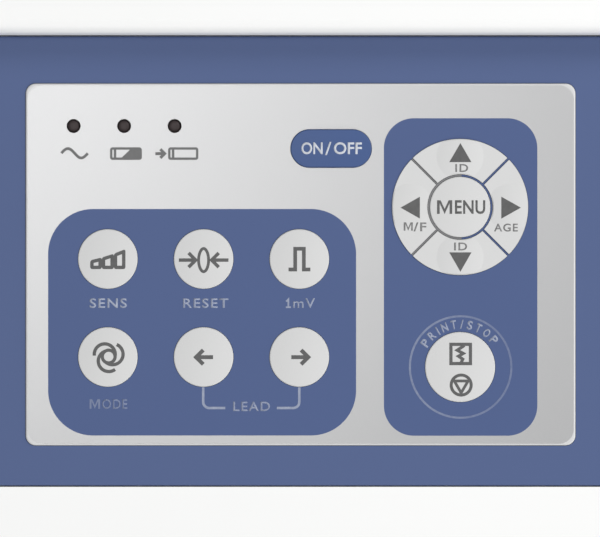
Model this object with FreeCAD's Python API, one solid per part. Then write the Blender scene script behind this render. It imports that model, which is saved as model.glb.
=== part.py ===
import FreeCAD, Part
import math
import os

# Portable electrocardiograph: a two-part white casing, a blue fascia with a membrane keypad,
# a clamshell thermal recorder beside it and a display hood behind it.
# Millimetres. X runs to the operator's right, Y to the rear, Z up from the table under the feet.

Vector = FreeCAD.Vector

# Fits
BOND_GAP = 0.02
RUNNING_GAP = 0.05
SEAT_GAP = 0.08
PLATE_GAP = 0.2
MOVING_GAP = 0.3

# Casing
CASE_WALL = 2.5
CASE_CORNER = 16.0
CASE_EDGE = 4.0
PARTING_CHAMFER = 0.5
FLOOR_THICK = 3.0
LOWER_HEIGHT = 31.0
NOSE_DEPTH = 24.0
RAIL_WIDTH = 8.0
LEDGE_WIDTH = 1.5
LEDGE_THICK = 2.0
LEDGE_FRAME = 3.0
VENT_COUNT = 9
VENT_WIDTH = 2.5
VENT_HEIGHT = 14.0
VENT_PITCH = 6.0

# Feet
FOOT_HEIGHT = 3.0
FOOT_RADIUS = 8.0
FOOT_TAPER = 1.0
FOOT_SPIGOT_RADIUS = 2.5
FOOT_INSET_X = 18.0
FOOT_INSET_Y = 34.0

# Casing screws
SCREW_RADIUS = 1.5
SCREW_LENGTH = 22.0
SCREW_HEAD_RADIUS = 2.8
SCREW_HEAD_HEIGHT = 2.0
SCREW_SLOT = 0.8
BOSS_WALL = 2.6
SCREW_SINK = 15.0
BOSS_INSET = 14.0

# Fascia
FASCIA_THICK = 2.5
FASCIA_CORNER = 4.0
FASCIA_EDGE = 0.5

# Keypad panel, scaled from the photograph at 0.2 mm a pixel
PANEL_WIDTH = 110.0
PANEL_DEPTH = 72.4
PANEL_CORNER = 2.0
PANEL_EDGE = 0.4
PANEL_SHIFT = -0.7
PANEL_PROUD = 0.35
PANEL_RIGHT_MARGIN = 17.0
OVERLAY_THICK = 1.0
SPACER_THICK = 1.4
KEY_BOARD_THICK = 1.2
TRAY_FLOOR = 1.5
TRAY_WALL = 2.0
TAIL_WIDTH = 14.0
TAIL_THICK = 0.3
TAIL_OFFSET = 20.0

# Keys, placed from the panel's centre
KEY_RADIUS = 5.95
KEY_PITCH_X = 19.15
KEY_PITCH_Y = 19.6
KEY_COLUMN = -38.55
KEY_ROW = 1.1
KEY_GAP = 0.08
KEY_PROUD = 0.15
KEY_CROWN = 0.4
NAV_CROWN = 0.35
KEY_EDGE = 0.18
KEY_FLANGE = 0.6
KEY_HEADROOM = 0.05
NAV_X = 31.9
NAV_Y = 11.5
NAV_RADIUS = 13.6
NAV_WEB = 0.34
NAV_PILLOW_RADIUS = 4.7
MENU_RADIUS = 6.05
PRINT_RADIUS = 7.0
PRINT_DROP = 32.0
POWER_X = 6.1
POWER_Y = 23.2
POWER_LENGTH = 16.2
POWER_WIDTH = 7.6
DOME_RADIUS = 4.0
NAV_DOME_RADIUS = 2.8
DOME_HEIGHT = 0.65
DOME_SHEET = 0.12
LED_RADIUS = 1.4
LED_COLUMN = -45.4
LED_ROW = 27.7
LED_PITCH = 10.1
LED_SINK = 0.2

# Recorder
PAPER_WIDTH = 80.0
PAPER_THICK = 0.1
ROLL_RADIUS = 22.0
ROLL_CLEARANCE = 1.0
CORE_RADIUS = 8.0
CORE_WALL = 1.8
SPINDLE_END_RADIUS = 3.0
LID_CLEARANCE = 2.5
CHASSIS_PLATE = 2.0
PAPER_SIDE_GAP = 2.0
DOOR_ARM_GAP = 1.0
DOOR_ARM = 2.0
DOOR_SIDE = 7.0
DOOR_LEFT_MARGIN = 18.0
DOOR_OPENING_GAP = 0.3
BRIDGE_WIDTH = 31.0
HINGE_RADIUS = 3.0
HINGE_PIN_RADIUS = 1.2
HINGE_PIN_LENGTH = 8.0
HINGE_MARGIN = 5.0
LUG_WIDTH = 3.5
WINDOW_MARGIN_SIDE = 18.0
WINDOW_DEPTH = 42.0
WINDOW_THICK = 1.2
WINDOW_LEDGE = 2.0
PLATEN_SETBACK = 15.0
PLATEN_DEPTH = 11.0
PLATEN_RADIUS = 6.0
PLATEN_SHAFT_RADIUS = 2.5
PAPER_LEAVES = 200.0
PAPER_STANDS = 4.0
TEAR_SETBACK = 3.3
TEAR_THICK = 0.6
TEAR_STANDS = 0.7
TEAR_TOOTH = 1.6
BAY_SETBACK = 14.0
HEAD_DEPTH = 16.0
HEAD_THICK = 2.0
SINK_THICK = 4.0
HEAD_SPRING_HEIGHT = 4.0
HEAD_SPRING_SPAN = 50.0
HEAD_SPRING_LENGTH = 24.0
HEAD_SPRING_WIDTH = 6.0
HEAD_SPRING_SHEET = 0.3
SPRING_WIRE = 0.4
SPRING_RADIUS = 2.6

# Recorder gears
GEAR_MODULE = 0.6
GEAR_WIDTH = 3.0
GEAR_BACKLASH = 0.08
PRESSURE_ANGLE = math.radians(20.0)
PLATEN_TEETH = 24
IDLER_TEETH = 26
MOTOR_TEETH = 18
IDLER_PIN_RADIUS = 2.0
MOTOR_RADIUS = 8.0
MOTOR_LENGTH = 30.0
MOTOR_SHAFT_RADIUS = 1.0

# Recorder release button
BUTTON_WIDTH = 12.0
BUTTON_LENGTH = 20.0
BUTTON_STANDS = 1.2
BUTTON_TRAVEL = 2.0
BUTTON_FLANGE = 1.0
BUTTON_CUP_WALL = 1.6
BUTTON_SPRING_HEIGHT = 7.0
BUTTON_SETBACK = 29.0
LATCH_WIDTH = 6.0
LATCH_THICK = 2.4
CATCH_LENGTH = 10.0
CATCH_THICK = 1.8
CATCH_DROP = 5.0

# Display hood
HOOD_DEPTH = 92.0
HOOD_INSET = 4.0
HOOD_REAR_INSET = 2.0
HOOD_CORNER = 12.0
HOOD_EDGE = 3.0
HOOD_FRONT_HEIGHT = 7.0
HOOD_REAR_HEIGHT = 21.0
HOOD_BOSS_SPAN = 36.0
SHORT_SCREW_LENGTH = 7.4
LENS_WIDTH = 104.0
LENS_DEPTH = 60.0
LENS_THICK = 1.0
LENS_LEDGE = 3.0
LENS_CORNER = 3.0
DISPLAY_THICK = 6.0
DISPLAY_BORDER = 2.0
SPEAKER_RADIUS = 15.0
SPEAKER_HEIGHT = 6.0
GRILLE_HOLE_RADIUS = 0.9
GRILLE_PITCH = 4.0
GRILLE_RINGS = 3
CABLE_SLOT_WIDTH = 40.0
CABLE_SLOT_DEPTH = 8.0

# Boards, supply and battery
BOARD_THICK = 1.6
STANDOFF_HEIGHT = 6.0
STANDOFF_RADIUS = 3.0
BOARD_SCREW_INSET = 5.0
MAIN_BOARD_WIDTH = 118.0
MAIN_BOARD_DEPTH = 92.0
POWER_BOARD_WIDTH = 112.0
POWER_BOARD_DEPTH = 48.0
BOARD_GAP = 7.0
CONNECTOR_MARGIN = 3.0
CONNECTOR_DEPTH = 5.0
PROCESSOR_SIZE = 22.0
PROCESSOR_SHIFT = 35.0
AMPLIFIER_SIZE = 16.0
AMPLIFIER_SHIFT_X = 32.0
AMPLIFIER_SHIFT_Y = 24.0
CHIP_HEIGHT = 2.0
MEMORY_WIDTH = 8.0
MEMORY_DEPTH = 12.0
MEMORY_PITCH = 14.0
MEMORY_SHIFT = 6.0
FILTER_RADIUS = 2.5
FILTER_HEIGHT = 8.0
FILTER_PITCH = 9.0
FILTER_SHIFT_X = 40.0
FILTER_SHIFT_Y = 30.0
CAPACITOR_RADIUS = 5.0
CAPACITOR_HEIGHT = 18.0
CAPACITOR_PITCH = 13.0
SUPPLY_ROW = 10.0
SUPPLY_SINK_WIDTH = 36.0
SUPPLY_SINK_DEPTH = 10.0
SUPPLY_SINK_HEIGHT = 16.0
PART_EDGE = 1.5
TRANSFORMER_SIZE = 36.0
TRANSFORMER_HEIGHT = 30.0
BATTERY_WIDTH = 96.0
BATTERY_DEPTH = 56.0
BATTERY_HEIGHT = 20.0
BATTERY_GAP = 1.0
BATTERY_SETBACK = 12.0
BATTERY_DOOR_LEDGE = 4.0
BATTERY_DOOR_THICK = 1.5

# Rear connector panel
REAR_BAY_WIDTH = 168.0
REAR_BAY_DEPTH = 14.0
REAR_BAY_WALL = 2.0
REAR_BAY_SHIFT = -36.0
INLET_FLANGE_WIDTH = 30.0
INLET_FLANGE_HEIGHT = 22.0
INLET_FLANGE_THICK = 2.5
INLET_WIDTH = 27.0
INLET_HEIGHT = 19.4
INLET_LENGTH = 16.0
INLET_WALL = 1.7
INLET_PIN_WIDTH = 2.0
INLET_PIN_HEIGHT = 4.0
INLET_PIN_PITCH = 7.0
INLET_PIN_SINK = 3.0
EARTH_RADIUS = 3.0
EARTH_LENGTH = 10.0
EARTH_COLLAR = 5.5
SOCKET_WIDTH = 39.2
SOCKET_HEIGHT = 12.6
SOCKET_SHELL_WIDTH = 25.0
SOCKET_SHELL_HEIGHT = 8.4
SOCKET_SHELL_LENGTH = 6.0
SOCKET_SHEET = 0.8
SOCKET_POST_SPAN = 33.3
SOCKET_POST_RADIUS = 2.4
SOCKET_POST_LENGTH = 5.0

# Layout across, from the left wall to the right wall
chassis_half = PAPER_WIDTH / 2 + PAPER_SIDE_GAP
plate_outer = chassis_half + CHASSIS_PLATE
arm_inner = plate_outer + DOOR_ARM_GAP
arm_outer = arm_inner + DOOR_ARM
door_half = arm_outer + DOOR_SIDE
fascia_width = DOOR_LEFT_MARGIN + 2 * door_half + BRIDGE_WIDTH + PANEL_WIDTH + PANEL_RIGHT_MARGIN
case_width = fascia_width + 2 * RAIL_WIDTH
fascia_left = -fascia_width / 2
recorder_x = fascia_left + DOOR_LEFT_MARGIN + door_half
door_right = recorder_x + door_half
panel_x = door_right + BRIDGE_WIDTH + PANEL_WIDTH / 2

# Layout from front to rear
platen_to_hinge = BAY_SETBACK + 2 * ROLL_RADIUS + 3 * ROLL_CLEARANCE + CHASSIS_PLATE + 1.0 + HINGE_RADIUS
fascia_depth = PLATEN_SETBACK + platen_to_hinge + HINGE_RADIUS + HINGE_MARGIN
case_depth = NOSE_DEPTH + fascia_depth + HOOD_DEPTH
front_y = -case_depth / 2
rear_y = case_depth / 2
fascia_front = front_y + NOSE_DEPTH
fascia_rear = fascia_front + fascia_depth
fascia_y = (fascia_front + fascia_rear) / 2
panel_y = fascia_y + PANEL_SHIFT
platen_y = fascia_front + PLATEN_SETBACK
bay_front = platen_y + BAY_SETBACK
roll_y = bay_front + ROLL_CLEARANCE + ROLL_RADIUS
bay_rear = roll_y + ROLL_RADIUS + 2 * ROLL_CLEARANCE
hinge_y = platen_y + platen_to_hinge

# Layout from the table up
floor_z = FOOT_HEIGHT + FLOOR_THICK
split_z = FOOT_HEIGHT + LOWER_HEIGHT
roll_z = floor_z + CHASSIS_PLATE + ROLL_CLEARANCE + ROLL_RADIUS
deck_under = roll_z + ROLL_RADIUS + LID_CLEARANCE
deck_z = deck_under + FASCIA_THICK
hinge_z = deck_z - HINGE_RADIUS
platen_z = deck_z - PLATEN_DEPTH
idler_z = platen_z - GEAR_MODULE * (PLATEN_TEETH + IDLER_TEETH) / 2
motor_z = idler_z - GEAR_MODULE * (IDLER_TEETH + MOTOR_TEETH) / 2
head_top = platen_z - PLATEN_RADIUS - PAPER_THICK - 3 * BOND_GAP
sink_under = head_top - HEAD_THICK - SINK_THICK
spring_seat = sink_under - HEAD_SPRING_HEIGHT
overlay_top = deck_z + PANEL_PROUD
overlay_under = overlay_top - OVERLAY_THICK
key_board_top = overlay_under - SPACER_THICK
key_board_under = key_board_top - KEY_BOARD_THICK
key_under = key_board_top + DOME_HEIGHT + BOND_GAP
key_rim = overlay_top + KEY_PROUD
board_z = floor_z + STANDOFF_HEIGHT
board_top = board_z + BOARD_THICK
gear_x = recorder_x + arm_outer + 1.0


# Small shape helpers

def box(x0, x1, y0, y1, z0, z1):
    return Part.makeBox(x1 - x0, y1 - y0, z1 - z0, Vector(x0, y0, z0))


def centred_box(x, y, width, depth, z0, z1):
    return box(x - width / 2, x + width / 2, y - depth / 2, y + depth / 2, z0, z1)


def upright(x, y, radius, z0, z1):
    return Part.makeCylinder(radius, z1 - z0, Vector(x, y, z0))


def crosswise(x0, x1, y, z, radius):
    return Part.makeCylinder(radius, x1 - x0, Vector(x0, y, z), Vector(1, 0, 0))


def lengthwise(x, y0, y1, z, radius):
    return Part.makeCylinder(radius, y1 - y0, Vector(x, y0, z), Vector(0, 1, 0))


def rounded_plate(x, y, width, depth, corner, z0, z1):
    plate = centred_box(x, y, width, depth, z0, z1)
    posts = [edge for edge in plate.Edges if abs(edge.tangentAt(edge.FirstParameter).z) > 0.9]
    return plate.makeFillet(corner, posts)


def edges_at(shape, height):
    return [e for e in shape.Edges if all(abs(v.Z - height) < 1e-6 for v in e.Vertexes)]


def prism_across(points, x0, x1):
    corners = [Vector(x0, y, z) for y, z in points]
    face = Part.Face(Part.makePolygon(corners + corners[:1]))
    return face.extrude(Vector(x1 - x0, 0, 0))


def prism_up(points, z0, z1):
    corners = [Vector(x, y, z0) for x, y in points]
    face = Part.Face(Part.makePolygon(corners + corners[:1]))
    return face.extrude(Vector(0, 0, z1 - z0))


def fused(shapes):
    return shapes[0].multiFuse(shapes[1:]).removeSplitter()


def coil_spring(x, y, z0, height, coil_radius, turns):
    rise = height - 2 * SPRING_WIRE
    helix = Part.makeHelix(rise / turns, rise, coil_radius)
    circle = Part.makeCircle(SPRING_WIRE, Vector(coil_radius, 0, 0), Vector(0, 1, 0))
    coil = Part.Wire(helix.Edges).makePipeShell([Part.Wire([circle])], True, True)
    coil.translate(Vector(x, y, z0 + SPRING_WIRE))
    return coil


def screw(x, y, head_z, length):
    """Pan-head screw that points up, with the underside of its head at head_z."""
    head = upright(x, y, SCREW_HEAD_RADIUS, head_z - SCREW_HEAD_HEIGHT, head_z)
    head = head.makeFillet(SCREW_HEAD_HEIGHT / 2, edges_at(head, head_z - SCREW_HEAD_HEIGHT))
    shank = upright(x, y, SCREW_RADIUS, head_z, head_z + length)
    low = head_z - SCREW_HEAD_HEIGHT
    reach = 2 * SCREW_HEAD_RADIUS * 0.6
    slots = [
        centred_box(x, y, reach, SCREW_SLOT, low, low + SCREW_HEAD_HEIGHT / 2),
        centred_box(x, y, SCREW_SLOT, reach, low, low + SCREW_HEAD_HEIGHT / 2),
    ]
    return fused([head, shank]).cut(fused(slots))


# Casing

def case_screw_places():
    corner_x = case_width / 2 - BOSS_INSET
    corner_y = case_depth / 2 - BOSS_INSET
    middle_y = fascia_rear + BOSS_INSET
    return [(side * corner_x, y) for side in (-1, 1) for y in (-corner_y, middle_y, corner_y)]


def hood_screw_places():
    x = panel_x + LENS_WIDTH / 2 + DISPLAY_BORDER + SCREW_RADIUS + BOSS_WALL + 1.0
    middle = (fascia_rear + rear_y) / 2
    return [(side * x, middle + end * HOOD_BOSS_SPAN / 2) for side in (-1, 1) for end in (-1, 1)]


def foot_places():
    x = case_width / 2 - FOOT_INSET_X
    y = case_depth / 2 - FOOT_INSET_Y
    return [(side * x, end * y) for side in (-1, 1) for end in (-1, 1)]


battery_y = front_y + BATTERY_SETBACK + BATTERY_GAP + BATTERY_DEPTH / 2
main_board_y = battery_y + BATTERY_DEPTH / 2 + BATTERY_GAP + BOARD_GAP + MAIN_BOARD_DEPTH / 2
power_board_y = hinge_y + HINGE_RADIUS + BOARD_GAP + POWER_BOARD_DEPTH / 2
rear_bay_x = REAR_BAY_SHIFT
rear_bay_z = (floor_z + split_z) / 2
rear_bay_height = split_z - floor_z - 2 * (REAR_BAY_WALL + BOND_GAP)
rear_bay_back = rear_y - CASE_WALL - REAR_BAY_DEPTH
inlet_x = rear_bay_x - REAR_BAY_WIDTH / 2 + INLET_FLANGE_WIDTH
earth_x = inlet_x + INLET_FLANGE_WIDTH
socket_x = rear_bay_x + REAR_BAY_WIDTH / 2 - SOCKET_WIDTH


def board_corners(x, y, width, depth):
    dx = width / 2 - BOARD_SCREW_INSET
    dy = depth / 2 - BOARD_SCREW_INSET
    return [(x + a * dx, y + b * dy) for a in (-1, 1) for b in (-1, 1)]


def board_screw_places():
    main = board_corners(panel_x, main_board_y, MAIN_BOARD_WIDTH, MAIN_BOARD_DEPTH)
    power = board_corners(recorder_x, power_board_y, POWER_BOARD_WIDTH, POWER_BOARD_DEPTH)
    return main + power


def lower_case():
    inner_w = case_width - 2 * CASE_WALL
    inner_d = case_depth - 2 * CASE_WALL
    shell = rounded_plate(0, 0, case_width, case_depth, CASE_CORNER, FOOT_HEIGHT, split_z)
    shell = shell.makeFillet(CASE_EDGE, edges_at(shell, FOOT_HEIGHT))
    shell = shell.makeChamfer(PARTING_CHAMFER, edges_at(shell, split_z))
    shell = shell.cut(rounded_plate(0, 0, inner_w, inner_d, CASE_CORNER - CASE_WALL, floor_z, split_z))
    boss_radius = SCREW_HEAD_RADIUS + PLATE_GAP + BOSS_WALL / 2
    solids = [shell]
    solids += [upright(x, y, boss_radius, floor_z, split_z) for x, y in case_screw_places()]
    solids += [upright(x, y, STANDOFF_RADIUS, floor_z, board_z) for x, y in board_screw_places()]
    case = fused(solids)
    holes = []
    for x, y in case_screw_places():
        holes.append(upright(x, y, SCREW_HEAD_RADIUS + PLATE_GAP, FOOT_HEIGHT, FOOT_HEIGHT + SCREW_SINK))
        holes.append(upright(x, y, SCREW_RADIUS + PLATE_GAP, FOOT_HEIGHT, split_z))
    for x, y in board_screw_places():
        holes.append(upright(x, y, SCREW_RADIUS + BOND_GAP, floor_z, board_z))
    for x, y in foot_places():
        holes.append(upright(x, y, FOOT_SPIGOT_RADIUS + BOND_GAP, FOOT_HEIGHT, floor_z))
    battery_w = BATTERY_WIDTH + 2 * BATTERY_GAP
    battery_d = BATTERY_DEPTH + 2 * BATTERY_GAP
    holes.append(centred_box(panel_x, battery_y, battery_w, battery_d, FOOT_HEIGHT, floor_z))
    rebate_w = battery_w + 2 * BATTERY_DOOR_LEDGE
    rebate_d = battery_d + 2 * BATTERY_DOOR_LEDGE
    rebate_top = FOOT_HEIGHT + BATTERY_DOOR_THICK
    holes.append(centred_box(panel_x, battery_y, rebate_w, rebate_d, FOOT_HEIGHT, rebate_top))
    window = rounded_plate(0, 0, REAR_BAY_WIDTH, rear_bay_height, REAR_BAY_WALL, 0, 2 * CASE_WALL)
    window.rotate(Vector(0, 0, 0), Vector(1, 0, 0), 90)
    window.translate(Vector(rear_bay_x, rear_y + CASE_WALL / 2, rear_bay_z))
    holes.append(window)
    vent_y = main_board_y - VENT_PITCH * (VENT_COUNT - 1) / 2
    for n in range(VENT_COUNT):
        y = vent_y + n * VENT_PITCH
        low = rear_bay_z - VENT_HEIGHT / 2
        inner_wall = case_width / 2 - 2 * CASE_WALL
        holes.append(box(inner_wall, case_width / 2, y, y + VENT_WIDTH, low, low + VENT_HEIGHT))
    return case.cut(Part.makeCompound(holes))


def upper_case():
    inner_w = case_width - 2 * CASE_WALL
    inner_d = case_depth - 2 * CASE_WALL
    under = deck_z - CASE_WALL
    shell = rounded_plate(0, 0, case_width, case_depth, CASE_CORNER, split_z, deck_z)
    shell = shell.makeFillet(CASE_EDGE, edges_at(shell, deck_z))
    shell = shell.makeChamfer(PARTING_CHAMFER, edges_at(shell, split_z))
    shell = shell.cut(rounded_plate(0, 0, inner_w, inner_d, CASE_CORNER - CASE_WALL, split_z, under))
    recess_w = fascia_width + 2 * PLATE_GAP
    recess_d = fascia_depth + 2 * PLATE_GAP
    ledge_z = deck_under - LEDGE_THICK
    frame_w = recess_w + 2 * LEDGE_FRAME
    frame_d = recess_d + 2 * LEDGE_FRAME
    frame = centred_box(0, fascia_y, frame_w, frame_d, ledge_z, max(deck_under, under))
    boss_radius = SCREW_RADIUS + BOSS_WALL
    bosses = [upright(x, y, boss_radius, split_z, under) for x, y in case_screw_places()]
    case = fused([shell, frame] + bosses)
    opening_w = recess_w - 2 * LEDGE_WIDTH
    opening_d = recess_d - 2 * LEDGE_WIDTH
    recess_r = FASCIA_CORNER + PLATE_GAP
    holes = [
        rounded_plate(0, fascia_y, recess_w, recess_d, recess_r, deck_under, deck_z),
        rounded_plate(0, fascia_y, opening_w, opening_d, FASCIA_CORNER, ledge_z, deck_under),
    ]
    reach = SCREW_LENGTH - (split_z - FOOT_HEIGHT - SCREW_SINK) + PLATE_GAP
    for x, y in case_screw_places():
        holes.append(upright(x, y, SCREW_RADIUS + BOND_GAP, split_z, split_z + reach))
    for x, y in hood_screw_places():
        holes.append(upright(x, y, SCREW_RADIUS + PLATE_GAP, under, deck_z))
    slot_y = (fascia_rear + rear_y) / 2
    holes.append(centred_box(panel_x, slot_y, CABLE_SLOT_WIDTH, CABLE_SLOT_DEPTH, under, deck_z))
    return case.cut(Part.makeCompound(holes))


def case_screws():
    return [screw(x, y, FOOT_HEIGHT + SCREW_SINK, SCREW_LENGTH) for x, y in case_screw_places()]


def rubber_feet():
    feet = []
    for x, y in foot_places():
        pad = Part.makeCone(FOOT_RADIUS - FOOT_TAPER, FOOT_RADIUS, FOOT_HEIGHT, Vector(x, y, 0))
        feet.append(pad.fuse(upright(x, y, FOOT_SPIGOT_RADIUS, FOOT_HEIGHT, floor_z)))
    return feet


# Keypad

def panel_plate(clearance, corner, z0, z1):
    width = PANEL_WIDTH + 2 * clearance
    depth = PANEL_DEPTH + 2 * clearance
    return rounded_plate(panel_x, panel_y, width, depth, corner, z0, z1)


def round_outline(x, y, radius):
    return lambda extra, z0, z1: upright(x, y, radius + extra, z0, z1)


def pill_outline(x, y, length, width):
    def solid(extra, z0, z1):
        radius = width / 2 + extra
        span = length - width
        ends = [upright(x + side * span / 2, y, radius, z0, z1) for side in (-1, 1)]
        return fused(ends + [centred_box(x, y, span, 2 * radius, z0, z1)])
    return solid


def quarter_wedge(x, y, quarter, extra, z0, z1):
    """The quarter between two webs of the navigation ring, counted left-handed from the top."""
    apex = (NAV_WEB / 2 + KEY_GAP - extra) * math.sqrt(2)
    reach = 2 * NAV_RADIUS
    wedge = prism_up([(0, apex), (reach, apex + reach), (-reach, apex + reach)], z0, z1)
    wedge.rotate(Vector(0, 0, 0), Vector(0, 0, 1), 90 * quarter)
    wedge.translate(Vector(x, y, 0))
    return wedge


def sector_outline(x, y, quarter):
    """A quarter of the navigation ring, grown by extra on its outer, inner and straight sides."""
    def solid(extra, z0, z1):
        outer = upright(x, y, NAV_RADIUS + extra, z0, z1)
        inner = upright(x, y, MENU_RADIUS + 2 * KEY_GAP + NAV_WEB - extra, z0, z1)
        return outer.cut(inner).common(quarter_wedge(x, y, quarter, extra, z0, z1))
    return solid


NAV_KEYS = ("key_up", "key_left", "key_down", "key_right")


def key_list():
    """Name, outline and the place and size of the snap dome of every key."""
    keys = []
    names = ("sensitivity", "reset", "calibrate", "mode", "lead_back", "lead_next")
    for n, name in enumerate(names):
        x = panel_x + KEY_COLUMN + KEY_PITCH_X * (n % 3)
        y = panel_y + KEY_ROW - KEY_PITCH_Y * (n // 3)
        keys.append(("key_" + name, round_outline(x, y, KEY_RADIUS), x, y, KEY_RADIUS, DOME_RADIUS))
    nav_x = panel_x + NAV_X
    nav_y = panel_y + NAV_Y
    middle = (NAV_RADIUS + MENU_RADIUS + 2 * KEY_GAP + NAV_WEB) / 2
    for quarter, name in enumerate(NAV_KEYS):
        turn = math.radians(90 * quarter)
        x = nav_x - middle * math.sin(turn)
        y = nav_y + middle * math.cos(turn)
        outline = sector_outline(nav_x, nav_y, quarter)
        keys.append((name, outline, x, y, NAV_PILLOW_RADIUS, NAV_DOME_RADIUS))
    menu = round_outline(nav_x, nav_y, MENU_RADIUS)
    keys.append(("key_menu", menu, nav_x, nav_y, MENU_RADIUS, DOME_RADIUS))
    print_y = nav_y - PRINT_DROP
    print_key = round_outline(nav_x, print_y, PRINT_RADIUS)
    keys.append(("key_print", print_key, nav_x, print_y, PRINT_RADIUS, DOME_RADIUS))
    power_x = panel_x + POWER_X
    power_y = panel_y + POWER_Y
    power = pill_outline(power_x, power_y, POWER_LENGTH, POWER_WIDTH)
    keys.append(("key_power", power, power_x, power_y, POWER_LENGTH / 2, DOME_RADIUS * 0.8))
    return keys


def led_places():
    y = panel_y + LED_ROW
    return [(panel_x + LED_COLUMN + n * LED_PITCH, y) for n in range(3)]


def sector_flange(quarter):
    """The rim under a navigation key that the overlay keeps in, along the outer arc only."""
    top = overlay_under - KEY_HEADROOM
    x = panel_x + NAV_X
    y = panel_y + NAV_Y
    ring = upright(x, y, NAV_RADIUS + KEY_FLANGE, key_under, top)
    ring = ring.cut(upright(x, y, NAV_RADIUS - KEY_FLANGE, key_under, top))
    return ring.common(quarter_wedge(x, y, quarter, 0, key_under, top))


def key_cap(name, outline, x, y, half, _dome):
    """Pad with a low crown over its dome, kept under the overlay by a flange where there is room."""
    pad = outline(0, key_under, key_rim)
    crown_height = KEY_CROWN
    if name in NAV_KEYS or name == "key_menu":
        crown_height = NAV_CROWN
    if name not in NAV_KEYS:
        pad = pad.makeFillet(KEY_EDGE, edges_at(pad, key_rim))
    ball_radius = (half ** 2 + crown_height ** 2) / (2 * crown_height)
    ball = Part.makeSphere(ball_radius, Vector(x, y, key_rim + crown_height - ball_radius))
    crown = outline(-KEY_EDGE, key_rim - KEY_EDGE, key_rim + crown_height).common(ball)
    pieces = [pad, crown]
    if name in NAV_KEYS:
        pieces.append(sector_flange(NAV_KEYS.index(name)))
    elif name != "key_menu":
        pieces.append(outline(KEY_FLANGE, key_under, overlay_under - KEY_HEADROOM))
    return fused(pieces)


def keypad_overlay():
    plate = panel_plate(0, PANEL_CORNER, overlay_under, overlay_top)
    plate = plate.makeFillet(PANEL_EDGE, edges_at(plate, overlay_top))
    holes = [key[1](KEY_GAP, overlay_under, overlay_top) for key in key_list()]
    holes += [upright(x, y, LED_RADIUS, overlay_under, overlay_top) for x, y in led_places()]
    return plate.cut(Part.makeCompound(holes))


def keypad_spacer():
    plate = panel_plate(0, PANEL_CORNER, key_board_top, overlay_under)
    room = KEY_FLANGE + MOVING_GAP
    holes = [upright(panel_x + NAV_X, panel_y + NAV_Y, NAV_RADIUS + room, key_board_top, overlay_under)]
    for name, outline, _x, _y, _half, _dome in key_list():
        if name not in NAV_KEYS and name != "key_menu":
            holes.append(outline(room, key_board_top, overlay_under))
    for x, y in led_places():
        holes.append(upright(x, y, LED_RADIUS + PLATE_GAP, key_board_top, overlay_under))
    return plate.cut(Part.makeCompound(holes))


def keypad_board():
    """Contact board with the flat tail that hangs from it to the main board."""
    plate = panel_plate(0, PANEL_CORNER, key_board_under, key_board_top)
    tail_y = panel_y + TAIL_OFFSET
    tail_end = board_top + STANDOFF_HEIGHT
    return plate.fuse(centred_box(panel_x, tail_y, TAIL_WIDTH, TAIL_THICK, tail_end, key_board_under))


def snap_domes():
    domes = []
    for _name, _outline, x, y, _half, radius in key_list():
        ball = (radius ** 2 + DOME_HEIGHT ** 2) / (2 * DOME_HEIGHT)
        top = key_board_top + DOME_HEIGHT
        outer = Part.makeSphere(ball, Vector(x, y, top - ball))
        inner = Part.makeSphere(ball, Vector(x, y, top - DOME_SHEET - ball))
        disc = upright(x, y, radius, key_board_top, top)
        domes.append(disc.common(outer).cut(inner))
    return domes


def indicator_leds():
    leds = []
    for x, y in led_places():
        radius = LED_RADIUS - RUNNING_GAP
        body = upright(x, y, radius, key_board_top, overlay_top - LED_SINK)
        leds.append(body.makeFillet(radius * 0.6, edges_at(body, overlay_top - LED_SINK)))
    return leds


# Fascia and release button

button_x = (door_right + panel_x - PANEL_WIDTH / 2) / 2
button_y = fascia_front + BUTTON_SETBACK
button_flange_top = deck_under - KEY_HEADROOM
button_flange_under = button_flange_top - BUTTON_FLANGE
button_cup_floor = button_flange_under - BUTTON_SPRING_HEIGHT


def button_pill(extra, z0, z1):
    width = BUTTON_WIDTH + 2 * extra
    length = BUTTON_LENGTH + 2 * extra
    return rounded_plate(button_x, button_y, width, length, BUTTON_WIDTH / 3 + extra, z0, z1)


def door_opening(z0, z1):
    half = door_half + DOOR_OPENING_GAP
    front = fascia_front + TEAR_SETBACK
    rear = hinge_y + HINGE_RADIUS + DOOR_OPENING_GAP
    return box(recorder_x - half, recorder_x + half, front, rear, z0, z1)


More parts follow.
